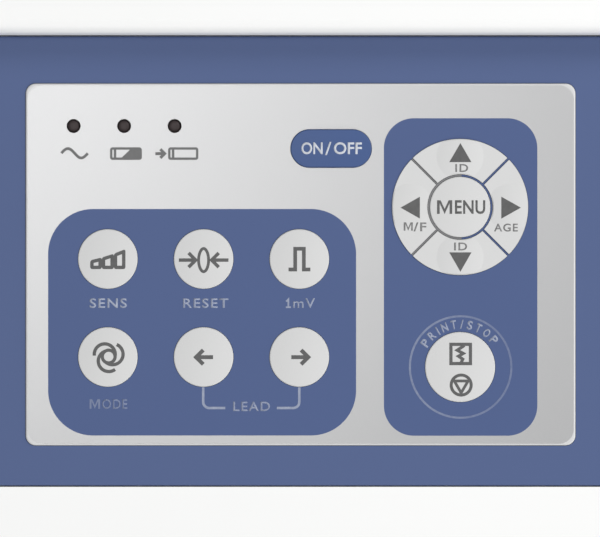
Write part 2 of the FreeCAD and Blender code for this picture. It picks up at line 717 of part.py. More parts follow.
def fascia():
    plate = rounded_plate(0, fascia_y, fascia_width, fascia_depth, FASCIA_CORNER, deck_under, deck_z)
    plate = plate.makeFillet(FASCIA_EDGE, edges_at(plate, deck_z))
    tray_under = key_board_under - TRAY_FLOOR
    tray = panel_plate(SEAT_GAP + TRAY_WALL, PANEL_CORNER + TRAY_WALL, tray_under, deck_under)
    cup_room = BUTTON_FLANGE + MOVING_GAP
    cup = button_pill(cup_room + BUTTON_CUP_WALL, button_cup_floor - BUTTON_CUP_WALL, deck_under)
    solids = [plate, tray, cup]
    half = door_half + DOOR_OPENING_GAP
    for side in (-1, 1):
        inner = recorder_x + side * half
        outer = inner + side * LUG_WIDTH
        x0 = min(inner, outer)
        x1 = max(inner, outer)
        lug = box(x0, x1, hinge_y - HINGE_RADIUS, hinge_y + HINGE_RADIUS, hinge_z, deck_under)
        solids += [lug, crosswise(x0, x1, hinge_y, hinge_z, HINGE_RADIUS - RUNNING_GAP)]
    whole = fused(solids)
    slot_y = panel_y + TAIL_OFFSET
    latch_x0 = door_right
    latch_low = button_flange_under - LATCH_THICK - BUTTON_TRAVEL - MOVING_GAP
    latch_half = LATCH_WIDTH / 2 + MOVING_GAP
    pin_reach = half + LUG_WIDTH
    holes = [
        panel_plate(SEAT_GAP, PANEL_CORNER + SEAT_GAP, key_board_under, deck_z),
        centred_box(panel_x, slot_y, TAIL_WIDTH + 1.0, 4 * TAIL_THICK, tray_under, key_board_under),
        door_opening(deck_under, deck_z),
        button_pill(PLATE_GAP, deck_under, deck_z),
        button_pill(cup_room, button_cup_floor, deck_under),
        box(latch_x0, button_x, button_y - latch_half, button_y + latch_half, latch_low, deck_under),
        crosswise(
            recorder_x - pin_reach, recorder_x + pin_reach, hinge_y, hinge_z, HINGE_PIN_RADIUS + BOND_GAP
        ),
    ]
    return whole.cut(Part.makeCompound(holes))


def release_button():
    cap = button_pill(0, button_flange_under, deck_z + BUTTON_STANDS)
    cap = cap.makeFillet(0.8, edges_at(cap, deck_z + BUTTON_STANDS))
    flange = button_pill(BUTTON_FLANGE, button_flange_under, button_flange_top)
    tip = door_right + MOVING_GAP
    nose_low = button_flange_under - LATCH_THICK
    nose_half = LATCH_WIDTH / 2
    root = button_x - SPRING_RADIUS - 4 * SPRING_WIRE
    nose = box(tip, root, button_y - nose_half, button_y + nose_half, nose_low, button_flange_under)
    return fused([cap, flange, nose])


def release_spring():
    low = button_cup_floor + BOND_GAP
    height = BUTTON_SPRING_HEIGHT - 2 * BOND_GAP
    return coil_spring(button_x, button_y, low, height, SPRING_RADIUS, 5)


# Recorder door

def recorder_door():
    front = fascia_front + TEAR_SETBACK + TEAR_THICK + 2.6
    left = recorder_x - door_half
    lid = box(left, door_right, front, hinge_y, deck_under, deck_z)
    lid = lid.makeFillet(FASCIA_EDGE, [e for e in edges_at(lid, deck_z) if e.BoundBox.YMin < hinge_y - 1e-6])
    barrel = crosswise(left, door_right, hinge_y, hinge_z, HINGE_RADIUS)
    solids = [lid, barrel]
    ear_half = PLATEN_SHAFT_RADIUS + 1.5
    for side in (-1, 1):
        x0 = recorder_x + min(side * arm_inner, side * arm_outer)
        solids.append(
            box(x0, x0 + DOOR_ARM, platen_y - ear_half, platen_y + ear_half, platen_z, deck_under)
        )
        solids.append(crosswise(x0, x0 + DOOR_ARM, platen_y, platen_z, ear_half))
    catch_half = CATCH_LENGTH / 2
    catch_x = door_right - CATCH_THICK
    catch_low = deck_under - CATCH_DROP
    catch_front = button_y - catch_half
    solids.append(box(catch_x, door_right, catch_front, catch_front + CATCH_LENGTH, catch_low, deck_under))
    door = fused(solids)
    pocket_half = chassis_half - WINDOW_MARGIN_SIDE / 4
    sight_half = pocket_half - WINDOW_LEDGE
    glass_y = roll_y
    glass_d = WINDOW_DEPTH
    bore = HINGE_PIN_RADIUS + RUNNING_GAP
    shaft_bore = PLATEN_SHAFT_RADIUS + RUNNING_GAP
    pin_in = HINGE_PIN_LENGTH - LUG_WIDTH + PLATE_GAP
    holes = [
        centred_box(recorder_x, glass_y, 2 * pocket_half, glass_d, deck_z - WINDOW_THICK, deck_z),
        centred_box(recorder_x, glass_y, 2 * sight_half, glass_d - 2 * WINDOW_LEDGE, deck_under, deck_z),
        crosswise(left, left + pin_in, hinge_y, hinge_z, bore),
        crosswise(door_right - pin_in, door_right, hinge_y, hinge_z, bore),
        crosswise(recorder_x - arm_outer, recorder_x + arm_outer, platen_y, platen_z, shaft_bore),
    ]
    return door.cut(Part.makeCompound(holes))


def door_window():
    half = chassis_half - WINDOW_MARGIN_SIDE / 4 - BOND_GAP
    depth = WINDOW_DEPTH - 2 * BOND_GAP
    return centred_box(recorder_x, roll_y, 2 * half, depth, deck_z - WINDOW_THICK, deck_z)


def hinge_pins():
    reach = door_half + DOOR_OPENING_GAP + LUG_WIDTH
    left = recorder_x - reach
    right = recorder_x + reach
    return [
        crosswise(left, left + HINGE_PIN_LENGTH, hinge_y, hinge_z, HINGE_PIN_RADIUS),
        crosswise(right - HINGE_PIN_LENGTH, right, hinge_y, hinge_z, HINGE_PIN_RADIUS),
    ]


# Recorder mechanism

def recorder_chassis():
    front = platen_y - HEAD_DEPTH / 2
    rear = bay_rear + CHASSIS_PLATE
    top = platen_z + PLATEN_SHAFT_RADIUS
    inner = chassis_half
    x0 = recorder_x - inner
    x1 = recorder_x + inner
    seat_under = spring_seat - CHASSIS_PLATE
    solids = [
        box(x0, x1, bay_front, bay_rear, floor_z, floor_z + CHASSIS_PLATE),
        box(x0, x1, bay_front - CHASSIS_PLATE, bay_front, floor_z, sink_under),
        box(x0, x1, bay_rear, rear, floor_z, top),
        box(x0, x1, front, bay_front, seat_under, spring_seat),
        box(x0 - CHASSIS_PLATE, x0, front, rear, floor_z, top),
        box(x1, x1 + CHASSIS_PLATE, front, rear, floor_z, top),
    ]
    chassis = fused(solids)
    left = x0 - CHASSIS_PLATE
    right = x1 + CHASSIS_PLATE
    shaft_room = PLATEN_SHAFT_RADIUS + MOVING_GAP + PLATE_GAP
    spindle_room = SPINDLE_END_RADIUS + RUNNING_GAP
    cuts = [
        crosswise(left, right, platen_y, platen_z, shaft_room),
        box(left, right, platen_y - shaft_room, platen_y + shaft_room, platen_z, top),
        crosswise(left, right, roll_y, roll_z, spindle_room),
        box(left, right, roll_y - spindle_room, roll_y + spindle_room, roll_z, top),
        crosswise(x1, right, platen_y, motor_z, MOTOR_SHAFT_RADIUS + MOVING_GAP),
    ]
    pin = crosswise(x1, gear_x + GEAR_WIDTH + 1.0, platen_y, idler_z, IDLER_PIN_RADIUS)
    collar = crosswise(right, gear_x - PLATE_GAP, platen_y, idler_z, IDLER_PIN_RADIUS + 1.0)
    return fused([chassis.cut(Part.makeCompound(cuts)), pin, collar])


def involute_gear(teeth, x, y, z, bore, turn):
    """Spur gear across X. A tooth points along turn, in degrees from +Y towards +Z."""
    pitch_radius = GEAR_MODULE * teeth / 2
    base_radius = pitch_radius * math.cos(PRESSURE_ANGLE)
    tip_radius = pitch_radius + 0.9 * GEAR_MODULE
    root_radius = pitch_radius - 1.2 * GEAR_MODULE
    half_tooth = math.pi / (2 * teeth) - GEAR_BACKLASH / (2 * pitch_radius)

    def involute(angle):
        return math.tan(angle) - angle

    def half_angle(radius):
        pressure = math.acos(min(1.0, base_radius / radius))
        return half_tooth + involute(PRESSURE_ANGLE) - involute(pressure)

    def point(radius, angle):
        return Vector(x, y + radius * math.cos(angle), z + radius * math.sin(angle))

    first = max(base_radius, root_radius)
    steps = [first + (tip_radius - first) * n / 5 for n in range(6)]
    edges = []
    for tooth in range(teeth):
        middle = math.radians(turn) + 2 * math.pi * tooth / teeth
        following = middle + 2 * math.pi / teeth
        rising = [point(r, middle - half_angle(r)) for r in steps]
        falling = [point(r, middle + half_angle(r)) for r in reversed(steps)]
        low = half_angle(first)
        if root_radius < first:
            edges.append(Part.LineSegment(point(root_radius, middle - low), rising[0]).toShape())
        edges.append(spline(rising))
        edges.append(Part.Arc(rising[-1], point(tip_radius, middle), falling[0]).toShape())
        edges.append(spline(falling))
        if root_radius < first:
            edges.append(Part.LineSegment(falling[-1], point(root_radius, middle + low)).toShape())
        gap_from = point(min(root_radius, first), middle + low)
        gap_middle = point(min(root_radius, first), (middle + following) / 2)
        gap_to = point(min(root_radius, first), following - low)
        edges.append(Part.Arc(gap_from, gap_middle, gap_to).toShape())
    face = Part.Face(Part.Wire(Part.sortEdges(edges)[0]))
    blank = face.extrude(Vector(GEAR_WIDTH, 0, 0))
    return blank.cut(crosswise(x, x + GEAR_WIDTH, y, z, bore))


def spline(points):
    curve = Part.BSplineCurve()
    curve.interpolate(points)
    return curve.toShape()


def platen_shaft():
    left = recorder_x - arm_outer - RUNNING_GAP
    right = gear_x + GEAR_WIDTH + RUNNING_GAP
    return crosswise(left, right, platen_y, platen_z, PLATEN_SHAFT_RADIUS)


def platen_rubber():
    half = PAPER_WIDTH / 2 + PAPER_SIDE_GAP / 2
    tube = crosswise(recorder_x - half, recorder_x + half, platen_y, platen_z, PLATEN_RADIUS)
    bore = PLATEN_SHAFT_RADIUS + BOND_GAP
    return tube.cut(crosswise(recorder_x - half, recorder_x + half, platen_y, platen_z, bore))


def platen_gear():
    return involute_gear(PLATEN_TEETH, gear_x, platen_y, platen_z, PLATEN_SHAFT_RADIUS + BOND_GAP, -90)


def idler_gear():
    half_pitch = 180 / IDLER_TEETH
    bore = IDLER_PIN_RADIUS + RUNNING_GAP
    return involute_gear(IDLER_TEETH, gear_x, platen_y, idler_z, bore, 90 + half_pitch)


def motor_pinion():
    """The idler shows the pinion a gap or a tooth, as its count of teeth is even or odd."""
    below = 90 if IDLER_TEETH % 2 == 0 else 90 + 180 / MOTOR_TEETH
    gear = involute_gear(MOTOR_TEETH, gear_x, platen_y, motor_z, MOTOR_SHAFT_RADIUS / 2, below)
    inner = recorder_x + chassis_half - MOTOR_LENGTH / 2
    shaft = crosswise(inner, gear_x + GEAR_WIDTH, platen_y, motor_z, MOTOR_SHAFT_RADIUS)
    return fused([gear, shaft])


def motor_body():
    face = recorder_x + chassis_half
    body = crosswise(face - MOTOR_LENGTH, face, platen_y, motor_z, MOTOR_RADIUS)
    rim = [e for e in body.Edges if abs(e.BoundBox.XMax - face + MOTOR_LENGTH) < 1e-6]
    body = body.makeFillet(1.0, rim)
    room = MOTOR_SHAFT_RADIUS + RUNNING_GAP
    return body.cut(crosswise(face - MOTOR_LENGTH / 2 - RUNNING_GAP, face, platen_y, motor_z, room))


def thermal_head():
    half = PAPER_WIDTH / 2 + PAPER_SIDE_GAP / 2
    plate = centred_box(recorder_x, platen_y, 2 * half, HEAD_DEPTH - 1.0, head_top - HEAD_THICK, head_top)
    return plate


def head_heat_sink():
    half = PAPER_WIDTH / 2 + PAPER_SIDE_GAP / 2
    top = head_top - HEAD_THICK
    block = centred_box(recorder_x, platen_y, 2 * half, HEAD_DEPTH - 3.0, sink_under, top)
    fins = []
    for n in range(-5, 6):
        if n % 5 != 0:
            x = recorder_x + n * 7.0
            fins.append(centred_box(x, platen_y, 3.0, HEAD_DEPTH, sink_under, sink_under + SINK_THICK / 2))
    return block.cut(Part.makeCompound(fins))


def head_springs():
    """Two bowed leaf springs that press the head up against the platen."""
    half = HEAD_SPRING_LENGTH / 2
    sheet = HEAD_SPRING_SHEET
    low = spring_seat
    top = sink_under
    springs = []
    for side in (-1, 1):
        x = recorder_x + side * HEAD_SPRING_SPAN / 2
        y = platen_y - HEAD_SPRING_WIDTH / 2
        outer = [Vector(x - half, y, low), Vector(x, y, top), Vector(x + half, y, low)]
        foot = half - 2 * sheet
        inner = [Vector(x + foot, y, low), Vector(x, y, top - sheet), Vector(x - foot, y, low)]
        edges = [
            Part.Arc(*outer).toShape(),
            Part.LineSegment(outer[2], inner[0]).toShape(),
            Part.Arc(*inner).toShape(),
            Part.LineSegment(inner[2], outer[0]).toShape(),
        ]
        springs.append(Part.Face(Part.Wire(edges)).extrude(Vector(0, HEAD_SPRING_WIDTH, 0)))
    return springs


def tear_bar():
    half = chassis_half
    y = fascia_front + TEAR_SETBACK
    top = deck_z + TEAR_STANDS
    low = deck_under
    count = round(2 * half / TEAR_TOOTH)
    pitch = 2 * half / count
    points = [(-half, low), (-half, top - TEAR_STANDS)]
    for n in range(count):
        points.append((-half + (n + 0.5) * pitch, top))
        points.append((-half + (n + 1) * pitch, top - TEAR_STANDS))
    points.append((half, low))
    corners = [Vector(recorder_x + x, y, z) for x, z in points]
    face = Part.Face(Part.makePolygon(corners + corners[:1]))
    return face.extrude(Vector(0, TEAR_THICK, 0))


# Paper

def paper_roll():
    half = PAPER_WIDTH / 2
    roll = crosswise(recorder_x - half, recorder_x + half, roll_y, roll_z, ROLL_RADIUS)
    return roll.cut(crosswise(recorder_x - half, recorder_x + half, roll_y, roll_z, CORE_RADIUS + BOND_GAP))


def paper_core():
    half = PAPER_WIDTH / 2
    tube = crosswise(recorder_x - half, recorder_x + half, roll_y, roll_z, CORE_RADIUS)
    return tube.cut(crosswise(recorder_x - half, recorder_x + half, roll_y, roll_z, CORE_RADIUS - CORE_WALL))


def paper_spindle():
    inner = chassis_half - PLATE_GAP
    outer = plate_outer - PLATE_GAP
    radius = CORE_RADIUS - CORE_WALL - RUNNING_GAP
    body = crosswise(recorder_x - inner, recorder_x + inner, roll_y, roll_z, radius)
    ends = crosswise(recorder_x - outer, recorder_x + outer, roll_y, roll_z, SPINDLE_END_RADIUS)
    return fused([body, ends])


def paper_strip():
    """Paper from the top of the roll, under the platen and up past the tear bar."""
    over_roll = ROLL_RADIUS + BOND_GAP + PAPER_THICK / 2
    round_platen = PLATEN_RADIUS + BOND_GAP + PAPER_THICK / 2
    span_y = platen_y - roll_y
    span_z = platen_z - roll_z
    span = math.hypot(span_y, span_z)
    lean = math.atan2(span_z, span_y) - math.acos((over_roll + round_platen) / span)
    leaves = math.radians(PAPER_LEAVES)
    meets = lean + math.pi
    top = deck_z + PAPER_STANDS

    def side(offset):
        on_roll = over_roll + offset
        on_platen = round_platen - offset
        start = Vector(0, roll_y + on_roll * math.cos(lean), roll_z + on_roll * math.sin(lean))
        touch = platen_point(on_platen, meets)
        middle = platen_point(on_platen, (meets + leaves) / 2)
        leave = platen_point(on_platen, leaves)
        rise = (top - leave.z) / -math.cos(leaves)
        finish = leave + Vector(0, math.sin(leaves), -math.cos(leaves)) * rise
        return start, touch, middle, leave, finish

    def platen_point(radius, angle):
        return Vector(0, platen_y + radius * math.cos(angle), platen_z + radius * math.sin(angle))

    a = side(-PAPER_THICK / 2)
    b = side(PAPER_THICK / 2)
    edges = [
        Part.LineSegment(a[0], a[1]).toShape(),
        Part.Arc(a[1], a[2], a[3]).toShape(),
        Part.LineSegment(a[3], a[4]).toShape(),
        Part.LineSegment(a[4], b[4]).toShape(),
        Part.LineSegment(b[4], b[3]).toShape(),
        Part.Arc(b[3], b[2], b[1]).toShape(),
        Part.LineSegment(b[1], b[0]).toShape(),
        Part.LineSegment(b[0], a[0]).toShape(),
    ]
    face = Part.Face(Part.Wire(edges))
    face.translate(Vector(recorder_x - PAPER_WIDTH / 2, 0, 0))
    return face.extrude(Vector(PAPER_WIDTH, 0, 0))


# Display hood

hood_front = fascia_rear + PLATE_GAP
hood_rear = rear_y - HOOD_REAR_INSET
hood_middle = (hood_front + hood_rear) / 2
hood_slope = math.atan2(HOOD_REAR_HEIGHT - HOOD_FRONT_HEIGHT, hood_rear - hood_front)
hood_half = case_width / 2 - HOOD_INSET


def hood_block(inset, lowered):
    """The hood's outside, or its hollow when inset and lowered by the wall."""
    width = 2 * (hood_half - inset)
    depth = hood_rear - hood_front - 2 * inset
    tall = deck_z + 2 * HOOD_REAR_HEIGHT
    block = rounded_plate(0, hood_middle, width, depth, HOOD_CORNER - inset, deck_z, tall)
    rise = math.tan(hood_slope)
    front = deck_z + HOOD_FRONT_HEIGHT - lowered
    reach = hood_rear - hood_front
    top = [(hood_front, front), (hood_rear, front + rise * reach), (hood_rear, tall), (hood_front, tall)]
    return block.cut(prism_across(top, -case_width, case_width))


def on_hood(shape, x):
    """Moves a shape made flat about the origin on to the hood's slope, at x across."""
    turned = shape.copy()
    turned.rotate(Vector(0, 0, 0), Vector(1, 0, 0), math.degrees(hood_slope))
    middle_z = deck_z + (HOOD_FRONT_HEIGHT + HOOD_REAR_HEIGHT) / 2
    turned.translate(Vector(x, hood_middle, middle_z))
    return turned


def grille_places():
    places = [(0.0, 0.0)]
    for ring in range(1, GRILLE_RINGS + 1):
        for n in range(6 * ring):
            turn = math.pi * n / (3 * ring)
            places.append((ring * GRILLE_PITCH * math.cos(turn), ring * GRILLE_PITCH * math.sin(turn)))
    return places


def display_hood():
    outer = hood_block(0, 0)
    slope_edges = []
    for edge in outer.Edges:
        if min(v.Z for v in edge.Vertexes) > deck_z + 1e-6:
            slope_edges.append(edge)
    outer = outer.makeFillet(HOOD_EDGE, slope_edges)
    shell = outer.cut(hood_block(CASE_WALL, CASE_WALL))
    radius = SCREW_RADIUS + BOSS_WALL
    roof = deck_z + HOOD_REAR_HEIGHT
    under_roof = hood_block(CASE_WALL / 2, CASE_WALL / 2)
    bosses = [upright(x, y, radius, deck_z, roof).common(under_roof) for x, y in hood_screw_places()]
    hood = fused([shell] + bosses)
    pocket_w = LENS_WIDTH + 2 * PLATE_GAP
    pocket_d = LENS_DEPTH + 2 * PLATE_GAP
    sight_w = LENS_WIDTH - 2 * LENS_LEDGE
    sight_d = LENS_DEPTH - 2 * LENS_LEDGE
    holes = [
        on_hood(rounded_plate(0, 0, pocket_w, pocket_d, LENS_CORNER, -LENS_THICK, LENS_THICK), panel_x),
        on_hood(rounded_plate(0, 0, sight_w, sight_d, LENS_CORNER, -2 * CASE_WALL, 0), panel_x),
    ]
    for x, y in grille_places():
        holes.append(on_hood(upright(x, y, GRILLE_HOLE_RADIUS, -2 * CASE_WALL, CASE_WALL), recorder_x))
    reach = SHORT_SCREW_LENGTH - CASE_WALL + PLATE_GAP
    for x, y in hood_screw_places():
        holes.append(upright(x, y, SCREW_RADIUS + BOND_GAP, deck_z, deck_z + reach))
    return hood.cut(Part.makeCompound(holes))


def display_lens():
    return on_hood(rounded_plate(0, 0, LENS_WIDTH, LENS_DEPTH, LENS_CORNER, -LENS_THICK, 0), panel_x)


def display_module():
    under = -CASE_WALL / math.cos(hood_slope) - BOND_GAP
    width = LENS_WIDTH + 2 * DISPLAY_BORDER
    depth = LENS_DEPTH + 2 * DISPLAY_BORDER
    return on_hood(centred_box(0, 0, width, depth, under - DISPLAY_THICK, under), panel_x)


def speaker():
    under = -CASE_WALL / math.cos(hood_slope) - BOND_GAP
    rim = upright(0, 0, SPEAKER_RADIUS, under - SPEAKER_HEIGHT / 2, under)
    magnet = upright(0, 0, SPEAKER_RADIUS * 0.6, under - SPEAKER_HEIGHT, under)
    return on_hood(fused([rim, magnet]), recorder_x)


# Boards, supply and battery

def circuit_board(x, y, width, depth):
    board = centred_box(x, y, width, depth, board_z, board_top)
    room = SCREW_RADIUS + PLATE_GAP
    holes = [upright(a, b, room, board_z, board_top) for a, b in board_corners(x, y, width, depth)]
    return board.cut(Part.makeCompound(holes))


def main_board():
    return circuit_board(panel_x, main_board_y, MAIN_BOARD_WIDTH, MAIN_BOARD_DEPTH)


def power_board():
    return circuit_board(recorder_x, power_board_y, POWER_BOARD_WIDTH, POWER_BOARD_DEPTH)


def main_chips():
    """The tail's connector, the processor, the amplifier, the memory and the filters of the leads."""
    tail_y = panel_y + TAIL_OFFSET
    tail_w = TAIL_WIDTH + CONNECTOR_MARGIN
    middle = main_board_y
    chip_top = board_top + CHIP_HEIGHT
    processor_x = panel_x - PROCESSOR_SHIFT
    amplifier_x = panel_x + AMPLIFIER_SHIFT_X
    amplifier_y = middle + AMPLIFIER_SHIFT_Y
    chips = [
        centred_box(panel_x, tail_y, tail_w, CONNECTOR_DEPTH, board_top, board_top + STANDOFF_HEIGHT),
        centred_box(processor_x, middle, PROCESSOR_SIZE, PROCESSOR_SIZE, board_top, chip_top),
        centred_box(amplifier_x, amplifier_y, AMPLIFIER_SIZE, AMPLIFIER_SIZE, board_top, chip_top),
    ]
    for n in range(4):
        x = panel_x - MEMORY_SHIFT + n * MEMORY_PITCH
        chips.append(centred_box(x, middle, MEMORY_WIDTH, MEMORY_DEPTH, board_top, chip_top))
    for n in range(6):
        x = panel_x - FILTER_SHIFT_X + n * FILTER_PITCH
        y = middle + FILTER_SHIFT_Y
        chips.append(upright(x, y, FILTER_RADIUS, board_top, board_top + FILTER_HEIGHT))
    return chips


def power_parts():
    """Transformer, capacitors and the regulator's heat sink of the supply."""
    x = recorder_x - POWER_BOARD_WIDTH / 4
    size = TRANSFORMER_SIZE
    core = centred_box(x, power_board_y, size, size, board_top, board_top + TRANSFORMER_HEIGHT)
    x = recorder_x + POWER_BOARD_WIDTH / 8
    parts = [core.makeFillet(PART_EDGE, core.Edges)]
    for n in range(3):
        place = x + n * CAPACITOR_PITCH
        top = board_top + CAPACITOR_HEIGHT
        parts.append(upright(place, power_board_y + SUPPLY_ROW, CAPACITOR_RADIUS, board_top, top))
    sink_x = x + CAPACITOR_PITCH
    sink_y = power_board_y - SUPPLY_ROW
    sink_top = board_top + SUPPLY_SINK_HEIGHT
    parts.append(centred_box(sink_x, sink_y, SUPPLY_SINK_WIDTH, SUPPLY_SINK_DEPTH, board_top, sink_top))
    return parts


def short_screws():
    """Screws up into the hood, and the same screws down into the board standoffs."""
    screws = [screw(x, y, deck_z - CASE_WALL, SHORT_SCREW_LENGTH) for x, y in hood_screw_places()]
    for x, y in board_screw_places():
        body = screw(x, y, 0, SHORT_SCREW_LENGTH)
        body.rotate(Vector(x, y, 0), Vector(1, 0, 0), 180)
        body.translate(Vector(0, 0, board_top))
        screws.append(body)
    return screws


def battery_pack():
    low = FOOT_HEIGHT + BATTERY_DOOR_THICK + BOND_GAP
    pack = centred_box(panel_x, battery_y, BATTERY_WIDTH, BATTERY_DEPTH, low, low + BATTERY_HEIGHT)
    return pack.makeFillet(2.0, pack.Edges)


def battery_door():
    width = BATTERY_WIDTH + 2 * BATTERY_GAP + 2 * BATTERY_DOOR_LEDGE - 2 * PLATE_GAP
    depth = BATTERY_DEPTH + 2 * BATTERY_GAP + 2 * BATTERY_DOOR_LEDGE - 2 * PLATE_GAP
    top = FOOT_HEIGHT + BATTERY_DOOR_THICK
    door = centred_box(panel_x, battery_y, width, depth, FOOT_HEIGHT, top)
    grip_y = battery_y + depth / 2 - 8.0
    grooves = [
        centred_box(panel_x, grip_y - n * 3.0, 24.0, 1.2, FOOT_HEIGHT, FOOT_HEIGHT + BATTERY_DOOR_THICK / 3)
        for n in range(4)
    ]
    return door.cut(Part.makeCompound(grooves))


# Rear connectors

def upright_plate(x, z, width, height, corner, y0, y1):
    plate = rounded_plate(0, 0, width, height, corner, 0, y1 - y0)
    plate.rotate(Vector(0, 0, 0), Vector(1, 0, 0), 90)
    plate.translate(Vector(x, y1, z))
    return plate


def rear_panel():
    inner_face = rear_y - CASE_WALL
    back = rear_bay_back - REAR_BAY_WALL
    width = REAR_BAY_WIDTH + 2 * REAR_BAY_WALL
    height = rear_bay_height + 2 * REAR_BAY_WALL
    tub = upright_plate(rear_bay_x, rear_bay_z, width, height, 2 * REAR_BAY_WALL, back, inner_face)
    hollow = upright_plate(
        rear_bay_x, rear_bay_z, REAR_BAY_WIDTH, rear_bay_height, REAR_BAY_WALL, rear_bay_back, inner_face
    )
    inlet_w = INLET_WIDTH + 2 * BOND_GAP
    inlet_h = INLET_HEIGHT + 2 * BOND_GAP
    shell_w = SOCKET_SHELL_WIDTH
    shell_h = SOCKET_SHELL_HEIGHT
    holes = [
        upright_plate(inlet_x, rear_bay_z, inlet_w, inlet_h, 2.0, back, rear_bay_back),
        lengthwise(earth_x, back, rear_bay_back, rear_bay_z, EARTH_RADIUS + BOND_GAP),
        upright_plate(socket_x, rear_bay_z, shell_w, shell_h, 2.0, back, rear_bay_back),
    ]
    return tub.cut(hollow).cut(Part.makeCompound(holes))


def mains_inlet():
    face = rear_bay_back + INLET_FLANGE_THICK
    flange = upright_plate(
        inlet_x, rear_bay_z, INLET_FLANGE_WIDTH, INLET_FLANGE_HEIGHT, 2.5, rear_bay_back, face
    )
    body = upright_plate(inlet_x, rear_bay_z, INLET_WIDTH, INLET_HEIGHT, 2.0, face - INLET_LENGTH, face)
    cavity_w = INLET_WIDTH - 2 * INLET_WALL
    cavity_h = INLET_HEIGHT - 2 * INLET_WALL
    cavity_back = face - INLET_LENGTH + INLET_WALL
    cavity = upright_plate(inlet_x, rear_bay_z, cavity_w, cavity_h, 3.0, cavity_back, face)
    return fused([flange, body]).cut(cavity)


def inlet_pins():
    root = rear_bay_back + INLET_FLANGE_THICK - INLET_LENGTH + INLET_WALL
    tip = root + INLET_LENGTH - INLET_WALL - INLET_PIN_SINK
    half_w = INLET_PIN_WIDTH / 2
    half_h = INLET_PIN_HEIGHT / 2
    pins = []
    for side in (-1, 0, 1):
        x = inlet_x + side * INLET_PIN_PITCH
        z = rear_bay_z + (half_h if side == 0 else -half_h)
        pin = box(x - half_w, x + half_w, root, tip, z - half_h, z + half_h)
        end = [e for e in pin.Edges if e.BoundBox.YMin > tip - 1e-6]
        pins.append(pin.makeChamfer(half_w / 2, end))
    return pins


def earth_stud():
    back = rear_bay_back - REAR_BAY_WALL
    pin = lengthwise(earth_x, back - 4.0, rear_bay_back + EARTH_LENGTH, rear_bay_z, EARTH_RADIUS)
    tip = [e for e in pin.Edges if e.BoundBox.YMin > rear_bay_back + EARTH_LENGTH - 1e-6]
    pin = pin.makeChamfer(0.6, tip)
    collar = lengthwise(earth_x, rear_bay_back, rear_bay_back + 1.2, rear_bay_z, EARTH_COLLAR)
    corners = []
    for n in range(6):
        turn = math.radians(60 * n)
        corners.append((earth_x + EARTH_COLLAR * math.cos(turn), rear_bay_z + EARTH_COLLAR * math.sin(turn)))
    points = [Vector(x, back - 3.0, z) for x, z in corners]
    nut = Part.Face(Part.makePolygon(points + points[:1])).extrude(Vector(0, 3.0, 0))
    return fused([pin, collar, nut])


def socket_outline(extra, y0, y1):
    """The trapezium of the patient socket's shell, grown by extra."""
    half = SOCKET_SHELL_WIDTH / 2 + extra
    tall = SOCKET_SHELL_HEIGHT / 2 + extra
    slant = SOCKET_SHELL_HEIGHT * math.tan(math.radians(10))
    points = [(-half, tall), (half, tall), (half - slant, -tall), (slant - half, -tall)]
    corners = [Vector(socket_x + x, y0, rear_bay_z + z) for x, z in points]
    solid = Part.Face(Part.makePolygon(corners + corners[:1])).extrude(Vector(0, y1 - y0, 0))
    sides = [e for e in solid.Edges if abs(e.tangentAt(e.FirstParameter).y) > 0.9]
    return solid.makeFillet(1.6 + extra, sides)


def patient_socket():
    face = rear_bay_back + SOCKET_SHEET
    flange = upright_plate(socket_x, rear_bay_z, SOCKET_WIDTH, SOCKET_HEIGHT, 1.5, rear_bay_back, face)
    shell = socket_outline(0, rear_bay_back, face + SOCKET_SHELL_LENGTH)
    hollow = socket_outline(-SOCKET_SHEET, rear_bay_back, face + SOCKET_SHELL_LENGTH)
    posts = []
    for side in (-1, 1):
        x = socket_x + side * SOCKET_POST_SPAN / 2
        post = lengthwise(x, face, face + SOCKET_POST_LENGTH, rear_bay_z, SOCKET_POST_RADIUS)
        bore = lengthwise(x, face + 1.0, face + SOCKET_POST_LENGTH, rear_bay_z, SOCKET_POST_RADIUS / 2)
        posts.append(post.cut(bore))
    return fused([flange, shell] + posts).cut(hollow)


def socket_insert():
    face = rear_bay_back + SOCKET_SHEET + SOCKET_SHELL_LENGTH - 0.5
    block = socket_outline(-SOCKET_SHEET - BOND_GAP, rear_bay_back - REAR_BAY_WALL, face)
    pitch = 2.76
    row_gap = 2.84
    holes = []
    for row, count in ((1, 8), (-1, 7)):
        for n in range(count):
            x = socket_x + (n - (count - 1) / 2) * pitch
            holes.append(lengthwise(x, face - 5.0, face, rear_bay_z + row * row_gap / 2, 0.55))
    return block.cut(Part.makeCompound(holes))


# Export, one file to a sub-part

def save(name, made):
    shape = Part.makeCompound(made) if isinstance(made, list) else made
    shape.exportStep(os.path.join("parts", name + ".step"))
    print(f"{name}: {len(shape.Solids)} solid(s), {shape.Volume:.1f} mm3, valid {shape.isValid()}")


def main():
    os.makedirs("parts", exist_ok=True)
    sub_parts = (
        lower_case, upper_case, case_screws, rubber_feet,
        fascia, keypad_overlay, keypad_spacer, keypad_board, snap_domes, indicator_leds,
        release_button, release_spring, recorder_door, door_window, hinge_pins, recorder_chassis,
        platen_shaft, platen_rubber, platen_gear, idler_gear, motor_pinion, motor_body,
        thermal_head, head_heat_sink, head_springs, tear_bar,
        paper_roll, paper_core, paper_spindle, paper_strip,
        display_hood, display_lens, display_module, speaker,
        main_board, main_chips, power_board, power_parts, short_screws,
        battery_pack, battery_door,
        rear_panel, mains_inlet, inlet_pins, earth_stud, patient_socket, socket_insert,
    )
    for make in sub_parts:
        save(make.__name__, make())
    for key in key_list():
        save(key[0], key_cap(*key))


main()
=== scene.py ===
# %% [markdown]
# # Dressing a portable heart recorder
# The casing, the keys, the chart recorder and everything inside are already solid models. This lesson
# loads them as a fixed frame, gives every surface its finish, and adds what a solid model leaves out:
# the printed symbols and lettering of the keypad and the small mouldings of the other sides.

# %% Load the solid model
import math

